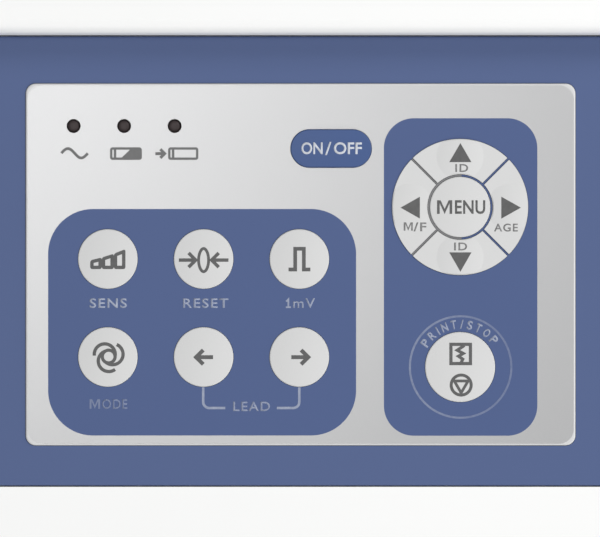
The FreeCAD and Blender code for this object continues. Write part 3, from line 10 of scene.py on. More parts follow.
import bpy
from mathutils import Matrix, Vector


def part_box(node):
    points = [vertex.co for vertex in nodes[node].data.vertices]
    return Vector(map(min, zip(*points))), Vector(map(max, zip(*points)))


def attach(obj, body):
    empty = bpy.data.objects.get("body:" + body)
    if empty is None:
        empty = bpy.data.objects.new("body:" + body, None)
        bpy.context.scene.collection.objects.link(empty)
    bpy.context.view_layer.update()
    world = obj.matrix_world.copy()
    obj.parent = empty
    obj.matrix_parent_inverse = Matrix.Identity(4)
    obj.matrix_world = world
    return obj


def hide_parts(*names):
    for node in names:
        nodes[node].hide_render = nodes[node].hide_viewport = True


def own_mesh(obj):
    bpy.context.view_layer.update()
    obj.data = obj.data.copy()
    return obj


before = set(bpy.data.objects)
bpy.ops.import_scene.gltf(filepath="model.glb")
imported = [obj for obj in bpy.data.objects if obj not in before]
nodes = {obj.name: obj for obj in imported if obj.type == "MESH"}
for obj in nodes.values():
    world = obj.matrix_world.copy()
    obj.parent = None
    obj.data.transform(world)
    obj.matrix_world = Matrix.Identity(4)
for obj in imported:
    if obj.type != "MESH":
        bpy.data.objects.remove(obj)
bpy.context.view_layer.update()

# %% [markdown]
# ## The view
# The picture looks straight down on the keypad from about two thirds of a metre. A camera without
# perspective could look down too, but it would miss the hood's front edge, which a real lens sees. So a
# long lens is used. The width that it sees is the sensor's width times distance over focal length, and
# the distance follows from the 120 mm of machine that fill the picture.

# %% Place the camera over the keypad
def centre_of(node):
    """The middle of a solid piece's box."""
    low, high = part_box(node)
    return (low + high) / 2


MM = 0.001
panel_x, panel_y = centre_of("keypad_overlay").xy
panel_low, panel_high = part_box("keypad_overlay")
panel_top = panel_high.z
PICTURE_WIDTH = 120.0 * MM
PICTURE_SHIFT = Vector((-0.12, -0.8)) * MM
LENS = 200.0
SENSOR = 36.0

camera_data = bpy.data.cameras.new("camera")
camera_data.lens = LENS
camera_data.sensor_width = SENSOR
camera = bpy.data.objects.new("camera", camera_data)
camera_height = PICTURE_WIDTH * LENS / SENSOR
camera.location = (panel_x + PICTURE_SHIFT.x, panel_y + PICTURE_SHIFT.y, panel_top + camera_height)
bpy.context.scene.collection.objects.link(camera)
bpy.context.scene.camera = camera
print("camera", round(camera_height, 3), "m above the keypad")

# %% [markdown]
# ## The light
# The silver keypad is brightest on its left, while the domed keys are brightest on their right. One light
# alone can't do both. A small light nearly overhead, a little to the left, is what the metallic silver
# mirrors. A long one on the right and a small one behind the right corner shade all that is matt, and a wide
# one from the front opens up the edges that face the operator. A pale surrounding fills the shadows.

# %% Soft lights and a pale surrounding
def soft_light(name, place, aim, width, depth, watts):
    """Hangs a rectangular soft light at a place and turns it to face another."""
    data = bpy.data.lights.new(name, "AREA")
    data.shape = "RECTANGLE"
    data.size = width
    data.size_y = depth
    data.energy = watts
    light = bpy.data.objects.new(name, data)
    light.location = place
    light.rotation_euler = (Vector(aim) - Vector(place)).to_track_quat("-Z", "Y").to_euler()
    light.visible_camera = False
    bpy.context.scene.collection.objects.link(light)


keypad = Vector((panel_x, panel_y, panel_top))
softboxes = {
    "back_softbox": ((0.58, 0.62, 0.6), 0.4, 0.4, 4.6),
    "right_softbox": ((0.9, 0.0, 0.36), 0.4, 1.2, 4.8),
    "front_softbox": ((0.1, -1.05, 0.5), 1.6, 0.4, 7.6),
    "overhead_softbox": ((-0.16, 0.12, 0.78), 0.3, 0.3, 1.27),
}
for name, (offset, width, depth, watts) in softboxes.items():
    soft_light(name, keypad + Vector(offset), keypad, width, depth, watts)

world = bpy.data.worlds.new("studio")
world.use_nodes = True
surrounding = world.node_tree.nodes["Background"]
surrounding.inputs["Color"].default_value = (0.98, 0.99, 1.0, 1)
surrounding.inputs["Strength"].default_value = 0.365
bpy.context.scene.world = world
bpy.context.scene.view_settings.view_transform = "Standard"
print("lights", list(softboxes))

# %% [markdown]
# ## Writing a finish with nodes
# Every finish starts from the Principled shader and the piece's own coordinates. A few short helpers keep
# the recipes readable: they add a node and fill its sockets, blend two colours, or turn noise into a bump.

# %% Helpers that add nodes
def finish(name):
    """A new material, its shader, and the coordinates of the piece that wears it."""
    material = bpy.data.materials.new(name)
    material.use_nodes = True
    shader = material.node_tree.nodes["Principled BSDF"]
    place = material.node_tree.nodes.new("ShaderNodeTexCoord").outputs["Object"]
    return material, shader, place


def fill(node, sockets):
    """Links the inputs of a node that are given a socket, and sets the others."""
    for key, value in sockets.items():
        if isinstance(value, bpy.types.NodeSocket):
            node.id_data.links.new(value, node.inputs[key])
        else:
            node.inputs[key].default_value = value


def add(kind, sockets, **settings):
    """Adds a node beside the one that its first link comes from, and fills its inputs."""
    source = next(value for value in sockets.values() if isinstance(value, bpy.types.NodeSocket))
    made = source.id_data.nodes.new("ShaderNode" + kind)
    for key, value in settings.items():
        setattr(made, key, value)
    fill(made, sockets)
    return made


def join(shader, **inputs):
    """Fills inputs of the shader, whose names are written with underscores."""
    fill(shader, {key.replace("_", " "): value for key, value in inputs.items()})


print("node helpers ready")


# %% Helpers that blend, range and ripple
def mixed(share, first, second):
    """The colour between two others, by a share from 0 to 1."""
    first, second = (c if isinstance(c, bpy.types.NodeSocket) else (*c, 1) for c in (first, second))
    mix = add("Mix", {0: share, 6: first, 7: second}, data_type="RGBA")
    return mix.outputs[2]


def ranged(value, low, high, start=0.0, end=1.0):
    """Turns a number between start and end into one between low and high."""
    sockets = {"Value": value, 1: start, 2: end, 3: low, 4: high}
    return add("MapRange", sockets).outputs["Result"]


def spread(value, low, high):
    """Turns a noise, which stays near its middle, into a number between two others."""
    return ranged(value, low, high, 0.3, 0.7)


def noise(place, size, detail=2.0):
    """Cloudy noise whose blotches are about this many metres across."""
    sockets = {"Vector": place, "Scale": 1 / size, "Detail": detail, "Roughness": 0.55}
    return add("TexNoise", sockets).outputs["Fac"]


def bumped(height, depth):
    """A normal that is rippled by a height from 0 to 1, this many metres deep."""
    bump = add("Bump", {"Height": height, "Distance": depth, "Strength": 1.0})
    return bump.outputs["Normal"]


def shade(colour, factor):
    """A colour made darker or lighter, but no lighter than white."""
    return tuple(min(1.0, c * factor) for c in colour)


print("a tenth darker than white is", shade((1, 1, 1), 0.9))


# %% Helpers that put a finish on
def wear(piece, material):
    """Gives a piece one finish all over."""
    piece.data.materials.clear()
    piece.data.materials.append(material)


def dress(finishes):
    """Gives each finish to the solid pieces that are named with it."""
    for material, pieces in finishes.items():
        for piece in pieces:
            wear(nodes[piece], material)
        print(material.name, "on", *pieces)


print(len(nodes), "solid pieces to dress")

# %% [markdown]
# ## Moulded plastic
# The casing, the keys and the connectors are injection mouldings. The tool that moulds them is eroded by
# sparks, which leaves a fine grain. A picture of that grain could be wrapped round each piece, but it would
# repeat and need unwrapping. A small noise in the bump and in the gloss needs neither, and a broad one lets
# the colour drift a little, as it does in real plastic.

# %% A moulded finish
DRIFT_SIZE = 30 * MM


def moulded(name, colour, roughness, grain, depth, drift=0.03, gloss=0.5):
    """Plastic with a grain of this size and depth, whose colour drifts by a small share."""
    material, shader, place = finish(name)
    fine = noise(place, grain, 3.0)
    broad = noise(place, DRIFT_SIZE)
    join(
        shader,
        Base_Color=mixed(broad, shade(colour, 1 - drift), shade(colour, 1 + drift)),
        Roughness=spread(fine, roughness - 0.05, roughness + 0.05),
        Specular_IOR_Level=gloss,
        Normal=bumped(fine, depth),
    )
    return material


print("moulded colours drift over", DRIFT_SIZE / MM, "mm")

# %% Choose the plastics
BLUE = (0.0755, 0.1095, 0.232)
KEY_GREY = (0.605, 0.605, 0.602)
POWER_BLUE = (0.0505, 0.091, 0.226)
white_casing = moulded("white_casing", (0.85, 0.85, 0.84), 0.5, 0.45 * MM, 0.006 * MM, 0.012)
blue_deck = moulded("blue_deck", BLUE, 0.55, 0.4 * MM, 0.006 * MM, 0.02, 0.25)
grey_key = moulded("grey_key", KEY_GREY, 0.55, 0.3 * MM, 0.002 * MM, 0.015, 0.1)
blue_key = moulded("blue_key", POWER_BLUE, 0.45, 0.3 * MM, 0.002 * MM, 0.015, 0.3)
nylon = moulded("nylon_gear", (0.78, 0.77, 0.71), 0.38, 0.8 * MM, 0.004 * MM, 0.03)
grey_panel = moulded("grey_rear_panel", (0.3, 0.31, 0.32), 0.5, 0.5 * MM, 0.008 * MM)
black_inlet = moulded("black_inlet", (0.02, 0.02, 0.021), 0.32, 0.35 * MM, 0.004 * MM)
blue_insert = moulded("blue_socket_insert", (0.03, 0.06, 0.16), 0.4, 0.4 * MM, 0.004 * MM)
black_component = moulded("black_component", (0.03, 0.03, 0.031), 0.55, 0.25 * MM, 0.01 * MM, 0.1)
key_names = [n for n in nodes if n.startswith("key_")]
plastic_pieces = {
    white_casing: ("lower_case", "upper_case", "display_hood", "battery_door"),
    blue_deck: ("fascia", "recorder_door"),
    grey_key: [n for n in key_names if n != "key_power"] + ["release_button"],
    blue_key: ("key_power",),
    nylon: ("platen_gear", "idler_gear", "paper_spindle"),
    grey_panel: ("rear_panel",),
    black_inlet: ("mains_inlet",),
    blue_insert: ("socket_insert",),
    black_component: ("main_chips", "power_parts"),
}
dress(plastic_pieces)

# %% [markdown]
# ## The printed overlay
# The keypad's face is one sheet of film, printed on its back: silver all over, with two blue fields
# behind the keys. The fields could be thin plates, but print under a film has no edge to feel. So they are
# drawn in the finish, from the sheet's own coordinates in millimetres. A rounded rectangle is every point
# within the corner's radius of a smaller, sharp rectangle, which takes five vector nodes. The silver holds
# metal flakes, so it is mostly metallic, and the blue is plain ink. On the left half of the navigation
# ring the webs are a matt grey: painted sheen, where the keys' edges catch the light. A thin band along
# the film's edge is a lighter matt grey without flakes: a painted highlight, where the edge catches light.

# %% Sizes and colours of the print
NAV_CENTRE = (31.9, 11.5)
LEFT_FIELD = ((-19.7, -11.55), (61.6, 45.3), 9.0)
RIGHT_FIELD = ((32.0, -2.5), (30.7, 63.5), 6.0)
PANEL_SIZE = ((panel_high.x - panel_low.x) / MM, (panel_high.y - panel_low.y) / MM)
SILVER = (0.536, 0.536, 0.539)
PRINT_BLUE = (0.064, 0.0985, 0.225)
# Painted sheen: the webs on the left half of the navigation ring are grey, where the keys' edges catch
# light.
WEB_PAINTED_SHEEN = (0.19, 0.19, 0.195)
SHEEN_REACH, SHEEN_RIGHT_END = 13.55, 0.3
# Painted highlight: a band this wide along the film's edge is a lighter matt grey, where the edge catches
# light.
EDGE_HIGHLIGHT_WIDTH, EDGE_HIGHLIGHT_CORNER = 0.35, 3.0
PAINTED_EDGE_HIGHLIGHT = (0.6, 0.6, 0.6)
FLAKE_SIZE, HAZE_SIZE = 0.12 * MM, 25 * MM
SILVER_METALLIC = 0.85
SILVER_ROUGHNESS, PRINT_ROUGHNESS = 0.42, 0.5
print("the overlay measures", [round(length, 2) for length in PANEL_SIZE], "mm")


# %% Masks in millimetres
def from_middle(place, node):
    """Millimetres across and up from the middle of a solid piece, with no height."""
    middle = centre_of(node) / MM
    sockets = {"Vector": place, "Location": (-middle.x, -middle.y, 0), "Scale": (1 / MM, 1 / MM, 0)}
    return add("Mapping", sockets).outputs["Vector"]


def vector_step(operation, first, second):
    """One step of vector arithmetic."""
    return add("VectorMath", {0: first, 1: second}, operation=operation).outputs[0]


def inside(distance, edge, soft=0.03):
    """1 where a distance is under an edge and 0 beyond it."""
    return ranged(distance, 1.0, 0.0, edge - soft, edge + soft)


def field(spot, centre, size, corner):
    """1 inside a rounded rectangle and 0 outside it."""
    core = (size[0] / 2 - corner, size[1] / 2 - corner, 0)
    shifted = vector_step("SUBTRACT", spot, (*centre, 0))
    folded = add("VectorMath", {0: shifted}, operation="ABSOLUTE").outputs[0]
    beyond = vector_step("SUBTRACT", folded, core)
    outside = vector_step("MAXIMUM", beyond, (0, 0, 0))
    length = add("VectorMath", {0: outside}, operation="LENGTH").outputs["Value"]
    return inside(length, corner)


def either(first, second, operation="MAXIMUM"):
    """The larger of two numbers, or another step of arithmetic with them."""
    return add("Math", {0: first, 1: second}, operation=operation).outputs[0]


print("mask helpers ready")


# %% Print the overlay
def printed_overlay():
    material, shader, place = finish("silver_overlay")
    spot = from_middle(place, "keypad_overlay")
    left = field(spot, *LEFT_FIELD)
    right = field(spot, *RIGHT_FIELD)
    blue = either(left, right)
    # The left half of the navigation ring, whose webs are painted grey as sheen from the keys' edges.
    off_nav = vector_step("SUBTRACT", spot, (*NAV_CENTRE, 0))
    reach = add("VectorMath", {0: off_nav}, operation="LENGTH").outputs["Value"]
    side = add("SeparateXYZ", {0: off_nav}).outputs["X"]
    grey = either(inside(reach, SHEEN_REACH), inside(side, SHEEN_RIGHT_END), "MULTIPLY")
    flake = noise(place, FLAKE_SIZE, 1.0)
    broad = noise(place, HAZE_SIZE)
    silver = mixed(flake, shade(SILVER, 0.96), shade(SILVER, 1.04))
    ink = mixed(broad, shade(PRINT_BLUE, 0.97), shade(PRINT_BLUE, 1.02))
    colour = mixed(grey, mixed(blue, silver, ink), WEB_PAINTED_SHEEN)
    # All but a band along the film's edge, which is painted a lighter grey as a highlight on the edge.
    sheet = field(spot, (0, 0), [length - 2 * EDGE_HIGHLIGHT_WIDTH for length in PANEL_SIZE], EDGE_HIGHLIGHT_CORNER)
    colour = mixed(sheet, PAINTED_EDGE_HIGHLIGHT, colour)
    matt = either(either(blue, grey), sheet, "MULTIPLY")
    matt = either(either(1.0, sheet, "SUBTRACT"), matt)
    metal = ranged(matt, SILVER_METALLIC, 0.0)
    gloss = ranged(matt, SILVER_ROUGHNESS, PRINT_ROUGHNESS)
    join(shader, Base_Color=colour, Metallic=metal, Roughness=gloss, Specular_IOR_Level=0.3)
    join(shader, Normal=bumped(broad, 0.02 * MM))
    return material


wear(nodes["keypad_overlay"], printed_overlay())
print("overlay printed with", LEFT_FIELD, "and", RIGHT_FIELD)

# %% [markdown]
# ## Metals
# Screws, springs, the chart recorder's frame and the connectors are bare metal. What tells one metal from
# another is how it was worked: drawn and ground parts carry fine streaks along one way, galvanised sheet
# is a patchwork of crystals. An anisotropic shader could draw the streaks, but it follows tangents that
# these meshes don't have. So streaks are a noise that is stretched, and crystals are Voronoi cells.

# %% Metal finishes
STREAKS_ACROSS, STREAKS_ALONG = 3000, 40


def streaked_metal(name, colour, roughness, along):
    """Metal with fine streaks along one axis, which also vary its gloss."""
    material, shader, place = finish(name)
    scale = Vector((STREAKS_ACROSS, STREAKS_ACROSS, STREAKS_ACROSS))
    scale[along] = STREAKS_ALONG
    stretched = add("Mapping", {"Vector": place, "Scale": scale}).outputs["Vector"]
    sockets = {"Vector": stretched, "Scale": 1.0, "Detail": 3.0}
    streaks = add("TexNoise", sockets).outputs["Fac"]
    broad = noise(place, 9 * MM)
    join(
        shader,
        Base_Color=mixed(broad, shade(colour, 0.9), shade(colour, 1.06)),
        Metallic=1.0,
        Roughness=spread(streaks, roughness - 0.1, roughness + 0.1),
        Normal=bumped(streaks, 0.004 * MM),
    )
    return material


def galvanised(name, colour):
    """Zinc-coated sheet with its patchwork of crystals."""
    material, shader, place = finish(name)
    crystals = add("TexVoronoi", {"Vector": place, "Scale": 280.0})
    patch = add("SeparateColor", {0: crystals.outputs["Color"]}).outputs[0]
    tint = mixed(patch, shade(colour, 0.82), shade(colour, 1.1))
    join(shader, Base_Color=tint, Metallic=1.0, Roughness=ranged(patch, 0.28, 0.5))
    join(shader, Normal=bumped(patch, 0.004 * MM))
    return material


print("streaks are", STREAKS_ACROSS // STREAKS_ALONG, "times as long as wide")

# %% Choose the metals
ACROSS, LENGTHWISE, UPRIGHT = 0, 1, 2
zinc = streaked_metal("zinc_plated_steel", (0.56, 0.56, 0.57), 0.32, UPRIGHT)
ground_steel = streaked_metal("ground_steel", (0.6, 0.6, 0.6), 0.25, ACROSS)
spring_steel = streaked_metal("spring_steel", (0.6, 0.6, 0.59), 0.22, LENGTHWISE)
drawn_can = streaked_metal("drawn_motor_can", (0.42, 0.42, 0.43), 0.35, ACROSS)
milled = streaked_metal("milled_aluminium", (0.72, 0.72, 0.73), 0.35, ACROSS)
brass = streaked_metal("plated_brass", (0.72, 0.56, 0.26), 0.25, LENGTHWISE)
nickel = streaked_metal("nickel_plate", (0.66, 0.65, 0.62), 0.2, LENGTHWISE)
metal_pieces = {
    zinc: ("case_screws", "short_screws"),
    ground_steel: ("hinge_pins", "platen_shaft", "tear_bar"),
    spring_steel: ("snap_domes", "release_spring", "head_springs"),
    drawn_can: ("motor_body",),
    milled: ("head_heat_sink",),
    brass: ("motor_pinion", "inlet_pins", "earth_stud"),
    nickel: ("patient_socket",),
    galvanised("galvanised_sheet", (0.55, 0.55, 0.55)): ("recorder_chassis",),
}
dress(metal_pieces)

# %% [markdown]
# ## Rubber, paper and card
# The feet and the platen are rubber: dark, dull, and a little dusty. The chart paper carries the grid
# that a heart trace is read against, fine lines every millimetre and a bold one every fifth. Modelled lines
# would be hundreds of strips thinner than the paper, so the finish draws them. A Ping-Pong step gives the
# distance to the nearest line. Along the strip the paper turns upwards, so height and depth are added up to
# count its millimetres.

# %% A rubber finish
def rubber(name, colour, grain, dusty=0.35):
    material, shader, place = finish(name)
    fine = noise(place, grain, 4.0)
    dust = noise(place, 4 * MM, 4.0)
    tint = mixed(spread(dust, 0.0, dusty), colour, (0.16, 0.155, 0.15))
    gloss = spread(fine, 0.68, 0.85)
    join(shader, Base_Color=tint, Roughness=gloss, Specular_IOR_Level=0.25)
    join(shader, Normal=bumped(fine, 0.02 * MM))
    return material


print("rubber finish ready")


# %% A ruled paper finish
def ruled(distance, pitch, width):
    """1 on lines this wide that repeat every pitch."""
    from_line = either(distance, pitch / 2, "PINGPONG")
    return inside(from_line, width / 2, 0.02)


def chart_paper():
    material, shader, place = finish("chart_paper")
    split = add("SeparateXYZ", {0: place}).outputs
    across = either(split["X"], 1 / MM, "MULTIPLY")
    rise = either(split["Z"], split["Y"], "SUBTRACT")
    along = either(rise, 1 / MM, "MULTIPLY")
    fine = either(ruled(across, 1.0, 0.1), ruled(along, 1.0, 0.1))
    bold = either(ruled(across, 5.0, 0.24), ruled(along, 5.0, 0.24))
    fibre = noise(place, 0.3 * MM, 4.0)
    sheet = mixed(fibre, (0.86, 0.84, 0.80), (0.92, 0.9, 0.87))
    lined = mixed(fine, sheet, (0.86, 0.62, 0.58))
    tint = mixed(bold, lined, (0.80, 0.42, 0.38))
    join(shader, Base_Color=tint, Roughness=0.55, Normal=bumped(fibre, 0.006 * MM))
    return material


print("chart paper ready")


# %% Card, and dress the soft pieces
def mottled(name, first, second, size, detail, roughness, depth=0.0, gloss=0.5):
    """A finish that wavers between two colours, and is rippled where a depth is given."""
    material, shader, place = finish(name)
    patch = noise(place, size, detail)
    tint = mixed(patch, first, second)
    join(shader, Base_Color=tint, Roughness=roughness, Specular_IOR_Level=gloss)
    if depth:
        join(shader, Normal=bumped(patch, depth))
    return material


card = mottled("wound_card", (0.38, 0.28, 0.17), (0.52, 0.4, 0.27), 0.5 * MM, 5.0, 0.85, 0.03 * MM)
soft_pieces = {
    rubber("foot_rubber", (0.025, 0.025, 0.026), 0.6 * MM): ("rubber_feet",),
    rubber("ground_rubber", (0.03, 0.03, 0.032), 0.2 * MM, 0.08): ("platen_rubber",),
    chart_paper(): ("paper_roll", "paper_strip"),
    card: ("paper_core",),
}
dress(soft_pieces)

# %% [markdown]
# ## Glass, lamps and electronics
# The chart window is smoked acrylic and the display lens is clear with a hard coat, so both let light
# through. The display is blank, because the machine is off: a grey-green cell in a black frame. Boards
# are green lacquer over copper tracks, and the tracks are the borders of Voronoi cells.

# %% A clear finish
ACRYLIC_IOR = 1.49


def clear_plastic(name, colour, roughness, through):
    material, shader, place = finish(name)
    smear = noise(place, 14 * MM, 4.0)
    gloss = spread(smear, roughness, roughness + 0.05)
    tint = mixed(smear, shade(colour, 0.96), shade(colour, 1.02))
    join(shader, Base_Color=tint, Roughness=gloss, IOR=ACRYLIC_IOR, Transmission_Weight=through)
    return material


print("acrylic bends light by", ACRYLIC_IOR)

# %% The blank display and the boards
DISPLAY_CELL = (88.0, 47.0)
DOT_PITCH, DOT_GAP = 0.36, 0.06


def blank_display():
    material, shader, place = finish("blank_display")
    spot = from_middle(place, "display_lens")
    cell = field(spot, (0, 0), DISPLAY_CELL, 0.5)
    split = add("SeparateXYZ", {0: spot}).outputs
    columns, rows = (ruled(split[axis], DOT_PITCH, DOT_GAP) for axis in "XY")
    grid = either(columns, rows)
    dots = mixed(grid, (0.17, 0.2, 0.18), (0.14, 0.165, 0.15))
    join(shader, Base_Color=mixed(cell, (0.012, 0.012, 0.013), dots), Roughness=0.35)
    return material


def circuit(name, colour):
    material, shader, place = finish(name)
    sockets = {"Vector": place, "Scale": 220.0}
    border = add("TexVoronoi", sockets, feature="DISTANCE_TO_EDGE").outputs["Distance"]
    track = inside(border, 0.09, 0.02)
    tint = mixed(track, colour, shade(colour, 1.9))
    join(shader, Base_Color=tint, Roughness=0.3, Normal=bumped(track, 0.03 * MM))
    return material


print("the display's cell measures", DISPLAY_CELL, "mm")

# %% Dress the display, the lamps and the boards
lamp = mottled("dark_lamp", (0.03, 0.022, 0.022), (0.044, 0.033, 0.033), 0.8 * MM, 2.0, 0.45, gloss=0.25)
wrap = mottled("battery_wrap", (0.045, 0.08, 0.19), (0.06, 0.1, 0.23), 6 * MM, 3.0, 0.22, 0.25 * MM)
display_and_boards = {
    clear_plastic("smoked_window", (0.3, 0.32, 0.36), 0.03, 0.92): ("door_window",),
    clear_plastic("display_lens", (0.62, 0.66, 0.68), 0.02, 0.95): ("display_lens",),
    clear_plastic("membrane_film", (0.72, 0.7, 0.62), 0.3, 0.2): ("keypad_spacer",),
    blank_display(): ("display_module",),
    lamp: ("indicator_leds",),
    circuit("board_lacquer", (0.02, 0.13, 0.06)): ("keypad_board", "main_board", "power_board"),
    wrap: ("battery_pack",),
    rubber("speaker_cone", (0.03, 0.03, 0.03), 0.5 * MM): ("speaker",),
    moulded("glazed_ceramic", (0.74, 0.73, 0.69), 0.15, 2 * MM, 0.002 * MM): ("thermal_head",),
}
dress(display_and_boards)

# %% [markdown]
# ## Lines, plates and letters
# The symbols are silk-screen print. A picture on the key would blur in a close view, so they are modelled
# as what print is: a very thin layer of ink. A line is a grid one cell deep that is laid along its path, a
# filled shape is a disc whose rim is moved to the outline, and an outlined shape is the same disc with its
# middle inset and taken out. Words start as text and become meshes. Everything is drawn in millimetres,
# large enough for Blender's tolerances, and scaled to metres when it is put in its place.

# %% Helpers that select
def fresh():
    """Leaves edit mode and lets go of everything, so that the next operator acts on its own piece."""
    if bpy.context.mode != "OBJECT":
        bpy.ops.object.mode_set(mode="OBJECT")
    bpy.ops.object.select_all(action="DESELECT")


def take(piece):
    """Selects one piece alone and makes it the active one."""
    fresh()
    piece.select_set(True)
    bpy.context.view_layer.objects.active = piece


print(len(bpy.context.selected_objects), "pieces are selected after loading")


# %% Helpers that draw a line
def corner_sides(path, width):
    """The points to the right and to the left of each point of a path, mitred at its corners."""
    sides = []
    for n, point in enumerate(path):
        before = (point - path[n - 1]).normalized() if n else (path[1] - point).normalized()
        after = (path[n + 1] - point).normalized() if n + 1 < len(path) else before
        along = before + after
        across = Vector((-along.y, along.x)).normalized()
        reach = width / 2 / max(0.4, across.dot(Vector((-before.y, before.x))))
        sides.append((point - across * reach, point + across * reach))
    return sides


def line(path, width):
    """A flat line of even width through points."""
    fresh()
    path = [Vector(p) for p in path]
    runs = len(path) - 1
    bpy.ops.mesh.primitive_grid_add(x_subdivisions=runs, y_subdivisions=1, size=1)
    strip = bpy.context.object
    sides = corner_sides(path, width)
    for vertex in strip.data.vertices:
        vertex.co.xy = sides[round((vertex.co.x + 0.5) * runs)][vertex.co.y > 0]
    return strip


print("line helpers ready")


# %% Helpers that draw plates and rims
def plate(outline):
    """A flat shape whose outline runs counter-clockwise."""
    fresh()
    bpy.ops.mesh.primitive_circle_add(vertices=len(outline), radius=1, fill_type="NGON")
    disc = bpy.context.object
    for vertex, point in zip(disc.data.vertices, outline):
        vertex.co.xy = point
    return disc


def outlined(outline, width, corner=0.0):
    """The rim of a flat shape, with its corners rounded: its face is inset and the middle is taken out."""
    rim = plate(outline)
    bpy.ops.object.mode_set(mode="EDIT")
    bpy.ops.mesh.select_all(action="SELECT")
    if corner:
        bpy.ops.mesh.bevel(offset=corner, segments=3, affect="VERTICES")
        bpy.ops.mesh.select_all(action="SELECT")
    bpy.ops.mesh.inset(thickness=width)
    bpy.ops.mesh.delete(type="FACE")
    fresh()
    return rim


print("plate helpers ready")


# %% Helpers that round an outline
def arc(centre, radius, start, end, steps):
    """Points along an arc, in degrees; radius is a pair for an oval."""
    rx, ry = radius if isinstance(radius, tuple) else (radius, radius)
    turns = [math.radians(start + (end - start) * n / steps) for n in range(steps + 1)]
    return [(centre[0] + rx * math.cos(t), centre[1] + ry * math.sin(t)) for t in turns]


def ring(centre, radius, steps=64):
    """A whole circle or oval, without its first point twice."""
    return arc(centre, radius, 0, 360 - 360 / steps, steps - 1)


def rounded(left, right, low, high, corner, steps=6):
    """A rectangle with round corners."""
    x0, x1, y0, y1 = left + corner, right - corner, low + corner, high - corner
    corners = [((x1, y1), 0), ((x0, y1), 90), ((x0, y0), 180), ((x1, y0), 270)]
    return [p for centre, start in corners for p in arc(centre, corner, start, start + 90, steps)]


print("a ring has", len(ring((0, 0), 1)), "points")


# %% Helpers that write
def words(text, left, right, low, high, weight=0.0, spacing=1.15):
    """Lettering that fills a box. A weight makes its strokes heavier."""
    fresh()
    bpy.ops.object.text_add()
    letters = bpy.context.object
    letters.data.body = text
    letters.data.offset = weight
    letters.data.resolution_u = 4
    letters.data.space_character = spacing
    bpy.ops.object.convert(target="MESH")
    letters = bpy.context.object
    points = [v.co for v in letters.data.vertices]
    x0, x1 = min(p.x for p in points), max(p.x for p in points)
    y0, y1 = min(p.y for p in points), max(p.y for p in points)
    letters.scale = ((right - left) / (x1 - x0), (high - low) / (y1 - y0), 1)
    letters.location = (left - x0 * letters.scale.x, low - y0 * letters.scale.y, 0)
    bpy.ops.object.transform_apply(location=True, rotation=True, scale=True)
    return letters


def letter_m(left, right, low, high, stem):
    """The letter M as one plate, because a text's weight fills its notches in."""
    middle = (left + right) / 2
    flat = left + 1.35 * stem
    notch = low + 0.36 * (high - low)
    rise = (high - notch) / (middle - flat)
    valley = max(low, notch - stem * math.hypot(1, rise))
    shoulder = valley + rise * (middle - left - stem)
    side = [(flat, high), (left, high), (left, low), (left + stem, low), (left + stem, shoulder)]
    other = [(left + right - x, y) for x, y in reversed(side)]
    return plate([(middle, notch)] + side + [(middle, valley)] + other)


print("lettering helpers ready")

# %% [markdown]
# ## Pressing the ink on
# Lines that cross are first made one shape: they get a thickness, a Boolean unites them, and only the
# upper side is kept. A key's top is slightly domed, so its symbol is cut into small cells and dropped
# onto the key by a Shrinkwrap, and a Solidify then gives the ink its body. Print on the flat overlay
# needs no dropping.

# %% Helpers that apply, join and unite
def apply(piece, kind, **settings):
    """Adds one modifier with its settings and applies it."""
    take(piece)
    modifier = piece.modifiers.new("step", kind)
    for key, value in settings.items():
        setattr(modifier, key, value)
    bpy.ops.object.modifier_apply(modifier=modifier.name)


def gathered(shapes):
    """Joins shapes that don't touch into the first of them."""
    fresh()
    for shape in shapes:
        shape.select_set(True)
    bpy.context.view_layer.objects.active = shapes[0]
    if len(shapes) > 1:
        bpy.ops.object.join()
    return shapes[0]


def united(shapes):
    """One flat outline from shapes that overlap."""
    bpy.context.tool_settings.mesh_select_mode = (False, False, True)
    for shape in shapes:
        apply(shape, "SOLIDIFY", thickness=1.0, offset=-1)
    first = shapes[0]
    for other in shapes[1:]:
        apply(first, "BOOLEAN", operation="UNION", object=other, solver="EXACT")
        bpy.data.objects.remove(other)
    take(first)
    for face in first.data.polygons:
        face.select = face.normal.z < 0.9
    bpy.ops.object.mode_set(mode="EDIT")
    bpy.ops.mesh.delete(type="FACE")
    fresh()
    return first


print("joining helpers ready")

# %% Helpers that place and cut
CELL = 1.0 * MM


def placed(piece, offset, scale=1.0, turn=(0, 0, 0)):
    """Scales, turns and moves a piece's mesh and leaves its object at the origin."""
    take(piece)
    piece.scale = (scale, scale, scale)
    piece.rotation_euler = turn
    piece.location = offset
    bpy.ops.object.transform_apply(location=True, rotation=True, scale=True)
    return piece


def cells(piece):
    """Cuts a flat piece along a square grid, so that it can follow a dome."""
    take(piece)
    points = [v.co.copy() for v in piece.data.vertices]
    bpy.ops.object.mode_set(mode="EDIT")
    for axis in (0, 1):
        high = max(p[axis] for p in points)
        cut = min(p[axis] for p in points) + CELL / 2
        normal = Vector((axis == 0, axis == 1, 0))
        while cut < high:
            bpy.ops.mesh.select_all(action="SELECT")
            bpy.ops.mesh.bisect(plane_co=normal * cut, plane_no=normal)
            cut += CELL
    fresh()


print("cells are", CELL / MM, "mm wide")

# %% Helpers that ink a shape
INK = 0.04 * MM
INK_PROUD = 0.02 * MM
ABOVE = 0.1


def named(piece, name, material, body):
    """Names a finished piece, dresses it and lets it ride on its body."""
    piece.name = name
    piece.data.name = name
    wear(piece, material)
    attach(piece, body)
    print(name, len(piece.data.polygons), "faces on", body)


